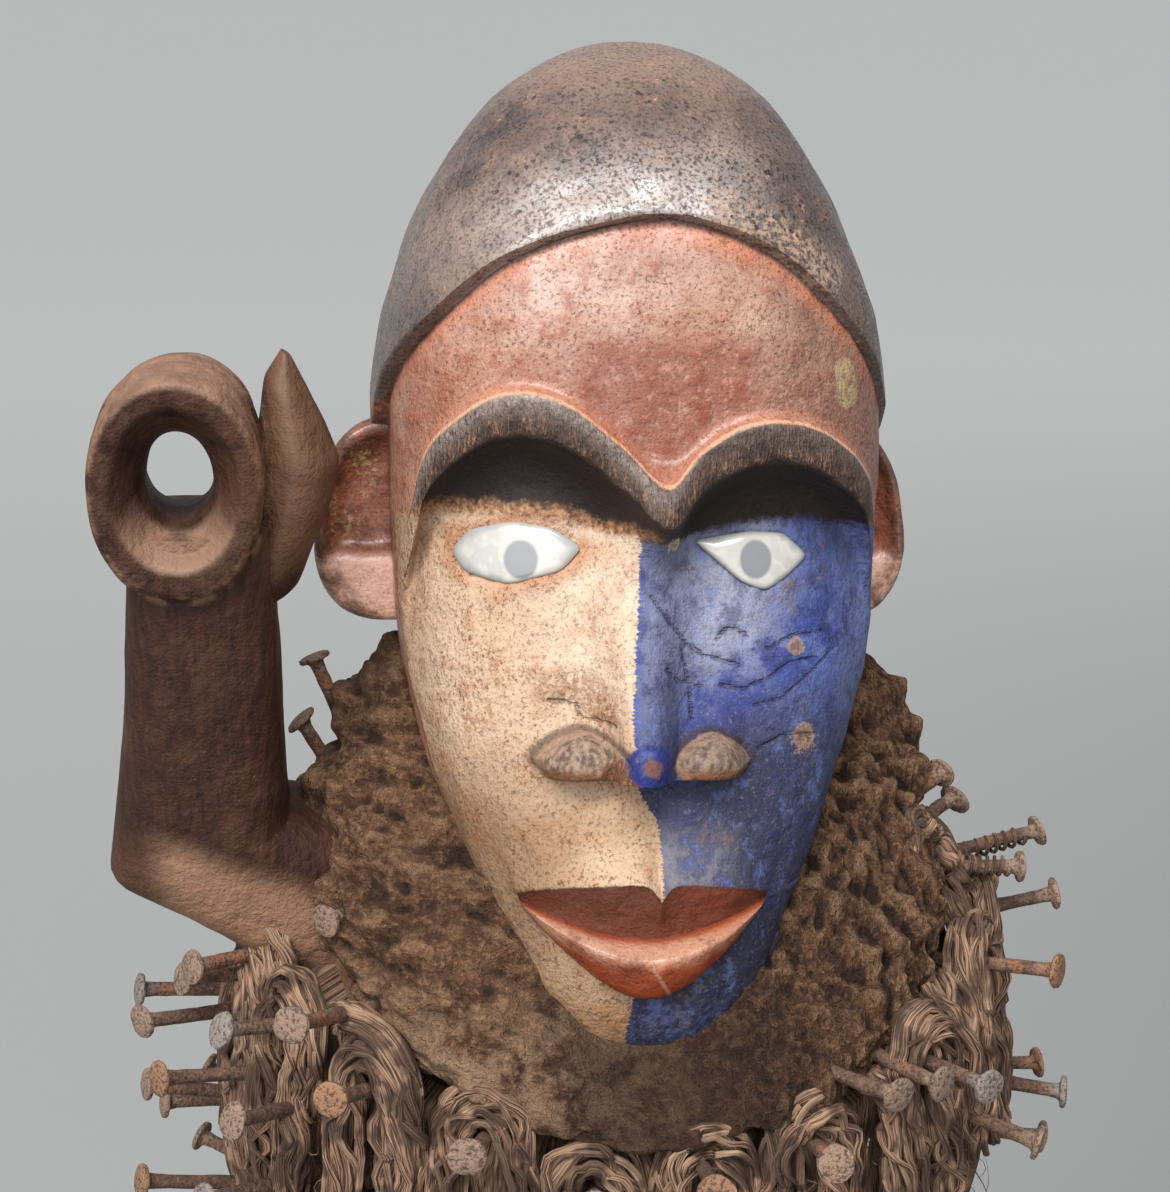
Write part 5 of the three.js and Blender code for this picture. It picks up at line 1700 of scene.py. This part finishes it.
def bundle(path, out, strands, width, thickness, strand_radius, seed, turns=0.5, sides=9, taper=0.35):
    """Strands at path + a * side + b * out, where (a, b) circles slowly, each a tube of that radius."""
    generator = np.random.default_rng(seed)
    steps = len(path)
    tangent = np.gradient(path, axis=0)
    tangent /= np.linalg.norm(tangent, axis=1, keepdims=True)
    out = out - tangent * np.sum(out * tangent, axis=1, keepdims=True)
    out /= np.linalg.norm(out, axis=1, keepdims=True)
    side = np.cross(tangent, out)
    along = np.linspace(0, 1, steps)[None, :]
    strand = np.arange(strands)[:, None]
    spread = np.sqrt((strand + 0.4) / strands)
    drift = np.stack(np.broadcast_arrays(along * 12, strand * 9.1, float(seed)), axis=-1)
    wobble = [rough(drift, 1.0, 2, axis) for axis in (1, 2)]
    angle = strand * 2.39996 + generator.uniform(0, 6) + turns * 2 * math.pi * along + 0.9 * wobble[0]
    a = width * spread * np.cos(angle) * (1 + 0.3 * wobble[1])
    b = thickness * spread * np.sin(angle) * (1 + 0.3 * wobble[0])
    ends = 1 - taper * (1 - smoothstep(np.minimum(along, 1 - along), 0, 0.08))
    radius = strand_radius * generator.uniform(0.8, 1.25, (strands, 1)) * ends * (1 + 0.12 * wobble[1])
    round_angle = (np.arange(sides) / sides * 2 * math.pi)[None, None, :]
    across = a[..., None] + radius[..., None] * np.cos(round_angle)
    outward = b[..., None] + radius[..., None] * np.sin(round_angle)
    rings = path[:, None] + side[:, None] * across[..., None] + out[:, None] * outward[..., None]
    length = np.linalg.norm(np.diff(path, axis=0), axis=1).sum()
    straight = np.stack([
        radius[..., None] * np.cos(round_angle) + strand[..., None] * 13.7 + seed * 3.1,
        radius[..., None] * np.sin(round_angle) + seed * 7.7,
        (along * length)[..., None] + 0 * across,
    ], axis=-1)
    return Fibres(tubes(rings), tubes(straight).points)


def fibre_object(name, bundles):
    """Bundles as one object that keeps the straightened places."""
    made = mesh_object(name, joined([fibres.surface for fibres in bundles]))
    attribute = made.data.attributes.new("straight", "FLOAT_VECTOR", "POINT")
    places = np.concatenate([fibres.straight for fibres in bundles])
    attribute.data.foreach_set("vector", places.astype(np.float32).ravel())
    return made


def trunk_normal(angle):
    """Outwards from the trunk, level."""
    return np.stack([np.sin(angle), -np.cos(angle), 0 * angle], axis=-1)


def plant_fibre():
    """Fine pale and dark streaks along each strand, with soft dark patches, partly dirt and partly painted
    shade between the strands.
    """
    finish = Finish("plant_fibre", Roughness=0.75, Specular_IOR_Level=0.3)
    straight = finish.node("ShaderNodeAttribute", {"attribute_name": "straight"}, output="Vector")
    thin = finish.stretched(straight, 1, 1, 0.045)
    threads = finish.noise(thin, 0.42, 2, 0.55)
    locks = finish.noise(thin, 1.8, 2)
    place = finish.place()
    soft = finish.noise(place, 12, 3)
    dust = finish.noise(place, 1.6, 3, 0.6)
    look = finish.blend(threads.between(0.38, 0.6), colour(58, 40, 32), colour(160, 126, 101))
    look = finish.blend(locks.between(0.5, 0.75) * 0.55, look, colour(188, 160, 134))
    # Soft dark patches: partly dirt, partly painted shade in the gaps between strands.
    look = finish.blend(soft.between(0.44, 0.58) * 0.75, look, colour(54, 37, 29))
    look = finish.blend(dust.between(0.6, 0.8) * 0.4, look, colour(160, 130, 104))
    return finish.coat(Base_Color=look, Normal=finish.bump(threads, 0.9))


fibre_finish = plant_fibre()

# %% [markdown]
# ## The looped hanks
#
# Ten hanks hang over the nails below the collar. Each runs up one side of its nail, over it and down the
# other side. The route is given sideways, upwards and outwards from the nail, and laid on the trunk.

# %% Loops
WRAP_THICKNESS, STRAND_RADIUS, LOOP_HALF_WIDTH = 15, 5.2, 8
LOOPS = [  # angle round the trunk, height, turn and lift of the nail, length of the ends
    (-79, 661, 14, 12, 42), (-60, 661, 4, 14, 46), (-42, 656, 8, 18, 70), (-26, 648, 10, 20, 38),
    (-10, 635, 4, 22, 36), (8, 640, -10, 20, 40), (25, 644, -20, 20, 38), (42, 662, -6, 6, 46),
    (61, 672, -2, 10, 48), (80, 671, 10, 12, 44),
]


def loop_route(degrees, z, turn, lift, length):
    """Points of the route and the outward direction at each."""
    depth = WRAP_THICKNESS + STRAND_RADIUS - 2
    aside, above = (depth * math.tan(math.radians(value)) for value in (turn, lift))
    w = LOOP_HALF_WIDTH
    half = [
        (-w + 1, -length, 5), (-w, -length * 0.6, 3), (-w - 0.5, -length * 0.25, 1), (-w, 2, 0),
        (-w * 0.62, 7, 0),
    ]
    other_half = [(-side, up, out) for side, up, out in reversed(half)]
    route = np.array([*half, (0, 9.5, 0), *other_half], float)
    route = smooth_path(route, 56, 3)
    angle = math.radians(degrees) + (route[:, 0] + aside) / (trunk_half_width(z) + depth)
    return on_trunk(angle, z + route[:, 1] + above, depth + route[:, 2]), trunk_normal(angle)


for number, loop in enumerate(LOOPS, 1):
    path, out = loop_route(*loop)
    hank = bundle(path, out, 26, 5.2, 4.9, 1.1, 100 + number, turns=0.6 + 0.4 * math.sin(number), sides=6)
    name = f"hank_{number:02d}"
    finish_piece(fibre_object(f"{name}_strands", [hank]), fibre_finish, "plant_fibre", name)

# %% [markdown]
# ## The wrapping
#
# Under the loops, rows of hanks hang over each other like shingles down to the hips. A dark matted layer
# fills the gaps between them. Over it go a few draped bundles at the shoulders.

# %% Wrapping
WRAP_BOTTOM, WRAP_SHINGLED_TO = 398, 640
HANK_ROWS, HANKS_ROUND = 5, 15
wrap_top = curve([(-70, 647), (-30, 662), (10, 685), (100, 694)])


def matted_layer(rows=90, columns=200):
    """A skin round the trunk, tucked under at both ends, with upright folds."""
    around = np.arange(columns) / columns * 2 * math.pi
    t, angle = np.meshgrid(np.linspace(0, 1, rows), around, indexing="ij")
    top = wrap_top(trunk_middle(660) - trunk_half_depth(660) * np.cos(angle))
    z = WRAP_BOTTOM + 2 + (top - WRAP_BOTTOM - 2) * t
    tucked = smoothstep(t, 0, 0.025) * (1 - smoothstep(t, 0.975, 1))
    fold = 1.6 * rough(np.stack([18 * np.sin(angle), 18 * np.cos(angle), z / 14], -1), 1.0, 3, 61)
    out = -8 + (15 + fold) * tucked
    grid = on_trunk(angle, z, out)
    return Fibres(tubes(grid[None]), np.concatenate([
        np.stack([90 * np.sin(angle), 90 * np.cos(angle), z], -1).reshape(-1, 3), np.zeros((2, 3))
    ]))


def hanging_hank(row, place):
    """A short bundle that hangs from under the row above, its loose end lifted a little."""
    seed = 1000 + 50 * row + place
    generator = np.random.default_rng(seed)
    height = (WRAP_SHINGLED_TO - WRAP_BOTTOM) / HANK_ROWS
    foot = WRAP_BOTTOM + row * height + generator.uniform(-2, 5)
    turn = (place + 0.5 * (row % 2) + generator.uniform(-0.12, 0.12)) / HANKS_ROUND * 2 * math.pi
    t = np.linspace(0, 1, 18)
    z = foot + 6 + (height * 1.2) * (1 - t)
    angle = turn + generator.uniform(-0.06, 0.06) * t + 0.02 * np.sin(5 * t + place)
    out = 4.5 + 6.5 * smoothstep(t, 0, 0.3) + 1.5 * t
    return bundle(on_trunk(angle, z, out), trunk_normal(angle), 6, 7.6, 2.6, 2.9, seed, 0.35, 7, 0.5)


DRAPED = [  # knots of degrees round the trunk, height and distance out, then width, strands and seed
    ([(-98, 668, 10), (-94, 684, 15), (-84, 690, 17), (-74, 686, 17), (-70, 672, 15), (-72, 652, 14)],
     4.0, 8, 71),
    ([(-100, 660, 12), (-98, 640, 22), (-97, 600, 26), (-98, 560, 18)], 5.5, 8, 72),
    ([(-90, 672, 14), (-90, 640, 24), (-91, 600, 25), (-90, 556, 18)], 5.0, 8, 73),
    ([(-82, 652, 14), (-80, 630, 20), (-76, 606, 22), (-78, 566, 18)], 6.0, 9, 74),
    ([(-72, 640, 12), (-66, 622, 20), (-58, 604, 21), (-50, 586, 18)], 7.5, 10, 75),
    ([(-50, 668, 13), (-44, 676, 17), (-38, 668, 18), (-36, 640, 19), (-35, 600, 19), (-36, 560, 16)],
     6.6, 10, 76),
    ([(-110, 690, 12), (-104, 700, 16), (-94, 696, 15), (-86, 680, 14)], 3.6, 7, 77),
    ([(34, 664, 14), (38, 650, 18), (40, 620, 19), (41, 570, 16)], 6.0, 9, 78),
    ([(52, 676, 12), (54, 660, 18), (53, 630, 20), (54, 580, 16)], 6.0, 9, 79),
    ([(68, 690, 10), (70, 672, 15), (70, 640, 17), (69, 590, 15)], 5.4, 8, 80),
    ([(84, 700, 10), (86, 680, 15), (86, 650, 16), (84, 600, 14)], 5.0, 8, 81),
    ([(60, 700, 8), (66, 706, 12), (74, 700, 13), (76, 684, 13)], 3.4, 7, 82),
    ([(-18, 646, 10), (-18, 620, 13), (-19, 580, 14)], 5.0, 8, 83),
    ([(0, 640, 10), (-1, 615, 13), (0, 575, 14)], 5.0, 8, 84),
    ([(16, 642, 10), (17, 615, 13), (16, 575, 14)], 5.0, 8, 85),
]


def draped_bundle(knots, width, strands, seed):
    """A bundle along knots that are laid on the trunk."""
    degrees, z, out = smooth_path(knots, 40, 3).T
    angle = np.radians(degrees)
    return bundle(on_trunk(angle, z, out), trunk_normal(angle), strands, width, 3.6, 2.2, seed, 0.8, 8)


wrapping = [matted_layer()]
wrapping += [hanging_hank(row, place) for row in range(HANK_ROWS) for place in range(HANKS_ROUND)]
finish_piece(fibre_object("fibre_wrapping_strands", wrapping), fibre_finish, "plant_fibre", "fibre_wrapping")
draped = [draped_bundle(*route) for route in DRAPED]
finish_piece(fibre_object("draped_strands", draped), fibre_finish, "plant_fibre")

# %% [markdown]
# ## Loose fibres
#
# Stray fibres stand off everywhere: a few hundred bent hairs, each a thin tube of three sides. Their
# starts are spread over the wrapping with a seeded generator, so every run gives the same hairs.

# %% Stray hairs
HAIRS = 420


def stray_hairs():
    """Paths start + drift * length on the trunk, lifted by sin(t), each with a thin ring carried along it."""
    generator = np.random.default_rng(7)
    angle = generator.uniform(-2.2, 2.0, (HAIRS, 1))
    z = generator.uniform(560, 646, (HAIRS, 1))
    length = generator.uniform(8, 30, (HAIRS, 1))
    t = np.linspace(0, 1, 7)[None, :]
    drift = generator.normal(0, 0.5, (HAIRS, 1)) * t + generator.normal(0, 0.25, (HAIRS, 1)) * np.sin(4 * t)
    fall = generator.uniform(-1, 0.35, (HAIRS, 1)) * t
    out = 15 + generator.uniform(0, 6, (HAIRS, 1)) + generator.uniform(0, 7, (HAIRS, 1)) * np.sin(2.6 * t)
    path = on_trunk(angle + drift * length / 90, z + fall * length, out)
    around = (np.arange(3) / 3 * 2 * math.pi)[None, None, :, None]
    normal = trunk_normal(angle + 0 * t)[:, :, None]
    up = np.array([0, 0, 1.0])
    radius = 0.22 * (1.2 - t)[..., None, None]
    slanted = up + 0.5 * np.cross(normal, up)
    rings = path[:, :, None] + radius * (normal * np.cos(around) + slanted * np.sin(around))
    straight = rings.copy()
    straight[..., 0] = np.arange(HAIRS)[:, None, None]
    return Fibres(tubes(rings), tubes(straight).points)


finish_piece(fibre_object("stray_hairs", [stray_hairs()]), fibre_finish, "plant_fibre")

# %% [markdown]
# ## Nails
#
# Every nail is turned from one rough profile: a shaft that rust has thickened unevenly, and a flat head
# hammered out of round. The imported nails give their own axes, and the finer ones are laid on them. A
# few more nails stand where the picture shows them.


# %% Nail shapes
def nail_surface(root, tip, seed, radius=1.95, head_radius=4.7, columns=18, rows=22):
    """Rings from root to tip: the shaft's radius up to the head, then the head's underside, rim and top."""
    root, tip = np.array(root, float), np.array(tip, float)
    length = np.linalg.norm(tip - root)
    axis = (tip - root) / length
    side = np.cross(axis, [0, 0, 1])
    side /= np.linalg.norm(side)
    up = np.cross(side, axis)
    generator = np.random.default_rng(seed)
    shaft = np.linspace(0, length - 2.6, rows)
    place = np.concatenate([shaft, length + np.array([-1.9, -1.75, -1.2, -0.4, 0, 0.12])])
    head_sizes = head_radius * np.array([0.62, 0.92, 1.0, 0.96, 0.72, 0.25])
    size = np.concatenate([np.full(rows, radius), head_sizes])
    size[rows - 1] *= 1.15
    angle = (np.arange(columns) / columns * 2 * math.pi)[None, :]
    around = np.stack(np.broadcast_arrays(np.cos(angle), np.sin(angle), place[:, None] / 3), axis=-1)
    uneven = 1 + 0.085 * rough(around, 0.9, 2, seed)
    reach = size[:, None] * uneven
    bend = generator.normal(0, 0.9, 2)[:, None, None] * np.sin(place / length * math.pi)[None, :, None]
    tilt = generator.normal(0, 0.09, 2)
    head = smoothstep(place, length - 2.3, length - 1.9)[:, None]
    lean = head * (tilt[0] * reach * np.cos(angle) + tilt[1] * reach * np.sin(angle))
    across, upward = reach * np.cos(angle) + bend[0], reach * np.sin(angle) + bend[1]
    along = (place[:, None] + lean)[..., None]
    rings = root + side * across[..., None] + up * upward[..., None] + axis * along
    return tubes(rings[None])


def packed_axis(node):
    """Root and outer end of a packed nail: its points along their longest direction, the wide end last."""
    points = points_of(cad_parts[node].data)
    middle = points.mean(axis=0)
    axis = np.linalg.svd(points - middle)[2][0]
    along = (points - middle) @ axis
    off = np.linalg.norm(points - middle - along[:, None] * axis, axis=1)
    if along[np.argmax(off)] < 0:
        axis, along = -axis, -along
    centre = points[along > along.max() - 0.5].mean(axis=0)
    return centre - axis * (along.max() - along.min()), centre


def rusty_iron(name, head_tint, rust):
    """Brown iron with orange patches, a tinted head, dark pits and pale dust."""
    finish = Finish(name, Roughness=0.8, Specular_IOR_Level=0.4)
    place = finish.place()
    soft = finish.noise(place, 9, 3, 0.6)
    pits = finish.noise(place, 1.1, 3, 0.65)
    head = finish.attribute("head")
    look = finish.blend(soft.between(0.3, 0.7), colour(82, 60, 50), colour(122, 92, 74))
    look = finish.blend(soft.between(0.54, 0.72) * rust, look, colour(158, 92, 52))
    look = finish.blend(head * 0.75, look, head_tint)
    look = finish.blend(pits.between(0.52, 0.36) * 0.8, look, colour(54, 40, 34))
    look = finish.blend(pits.between(0.62, 0.74) * 0.5, look, colour(186, 160, 134))
    return finish.coat(Base_Color=look, Normal=finish.bump(pits, 1.0))


def finish_nail(name, surface, tip_places, material, *replaced):
    """A nail piece whose points know how near they are to a nail's head."""
    made = mesh_object(name, surface)
    gaps = np.min([np.linalg.norm(surface.points - tip, axis=1) for tip in tip_places], axis=0)
    set_attribute(made.data, "head", 1 - smoothstep(gaps, 4.8, 6.2))
    return finish_piece(made, material, "rusty_iron", *replaced)


NAIL_FINISHES = [
    rusty_iron("rusty_iron", colour(146, 122, 104), 0.7),
    rusty_iron("grey_iron", colour(140, 134, 126), 0.35),
    rusty_iron("orange_iron", colour(150, 112, 84), 0.9),
]
nail_nodes = sorted(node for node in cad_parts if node.startswith("nail_"))
for number, node in enumerate(nail_nodes):
    root, tip = packed_axis(node)
    surface = nail_surface(root, tip, number + 1)
    finish_nail(f"{node}_rusted", surface, [tip], NAIL_FINISHES[(number * 7) % 3], node)

# %% More nails
MORE_NAILS = [  # root and head in the object's frame
    ((-70, -28, 668), (-92, -70, 688)), ((-77, -28, 640), (-107, -64, 657)),
    ((-84, 8, 668), (-119, -22, 677)), ((-86, 12, 648), (-133, -20, 660)),
    ((82, 20, 703), (95, 28, 708)), ((88, 20, 694), (100, 26, 700)),
    ((72, 5, 690), (112, -2, 692)), ((50, -44, 668), (72, -74, 668)), ((34, -52, 667), (58, -84, 672)),
    ((-70, 36, 704), (-87, 40, 741)), ((-73, 36, 696), (-91, 40, 722)), ((-70, -8, 690), (-84, -26, 692)),
    ((70, -36, 628), (98, -62, 612)), ((80, 0, 612), (126, -8, 606)), ((-84, 30, 600), (-132, 24, 606)),
]


def scattered_nails():
    """Nails on the lower wrapping and the back, in rows that are shifted like bricks."""
    generator = np.random.default_rng(11)
    places = []
    for row, z in enumerate((420, 452, 486, 520, 552, 582)):
        for step in range(12):
            angle = (step + 0.5 * (row % 2)) / 12 * 2 * math.pi + generator.uniform(-0.12, 0.12)
            lean = angle + generator.uniform(-0.2, 0.2)
            out = generator.uniform(34, 46)
            low = z + generator.uniform(-8, 8)
            root = on_trunk(np.array(angle), low, -6)
            reach = np.array([math.sin(lean), -math.cos(lean), generator.uniform(-0.05, 0.35)])
            places.append((root, root + reach / np.linalg.norm(reach) * (out + 6)))
    return places


def clear_of_arm(place):
    """Whether a nail's head keeps away from the lowered arm."""
    x, y, z = place[1]
    return not (x > 62 and z < 700 and -80 < y < 60)


more = [(np.array(root, float), np.array(head, float)) for root, head in MORE_NAILS]
lower = [place for place in scattered_nails() if clear_of_arm(place)]
surfaces = [nail_surface(root, head, 200 + i) for i, (root, head) in enumerate(more)]
surfaces += [nail_surface(root, head, 300 + i, columns=10, rows=8) for i, (root, head) in enumerate(lower)]
finish_nail("more_nails", joined(surfaces), [head for _, head in more + lower], NAIL_FINISHES[0])
print("more nails:", len(more) + len(lower))

# %% [markdown]
# ## Thread round two nails
#
# Thread is wound round two of the nails at the figure's left. It is a helix: a point that circles the
# nail's line while it moves along it. A thin tube is carried along that path, and the spoke from the
# nail to the point serves as one of its two directions, so the tube never twists.

# %% Thread
THREAD_TURNS, THREAD_OFF_AXIS, THREAD_RADIUS = 9, 2.5, 0.6


def wound_thread(root, tip, steps=200, sides=6):
    """A tube along root + (tip - root) * (0.4 + t / 2) + off axis * (side * cos(turn) + up * sin(turn))."""
    axis = (tip - root) / np.linalg.norm(tip - root)
    side = np.cross(axis, [0, 0, 1])
    side /= np.linalg.norm(side)
    t = np.linspace(0, 1, steps)[:, None]
    turn = THREAD_TURNS * 2 * math.pi * t + 0.8 * np.sin(9 * t)
    spoke = side * np.cos(turn) + np.cross(side, axis) * np.sin(turn)
    path = root + (tip - root) * (0.4 + t / 2) + THREAD_OFF_AXIS * spoke
    heading = np.gradient(path, axis=0)
    heading /= np.linalg.norm(heading, axis=1, keepdims=True)
    across = np.cross(heading, spoke)
    angle = np.arange(sides)[None, :, None] / sides * 2 * math.pi
    near, beside = THREAD_RADIUS * np.cos(angle), THREAD_RADIUS * np.sin(angle)
    rings = path[:, None] + near * spoke[:, None] + beside * across[:, None]
    length = np.linalg.norm(np.diff(path, axis=0), axis=1).sum()
    flat = [near[..., 0] + 0 * t, beside[..., 0] + 0 * t, length * t + 0 * angle[..., 0]]
    return Fibres(tubes(rings[None]), tubes(np.stack(flat, axis=-1)[None]).points)


threads = [wound_thread(*packed_axis("nail_19")), wound_thread(*more[6])]
finish_piece(fibre_object("wound_thread", threads), fibre_finish, "plant_fibre")
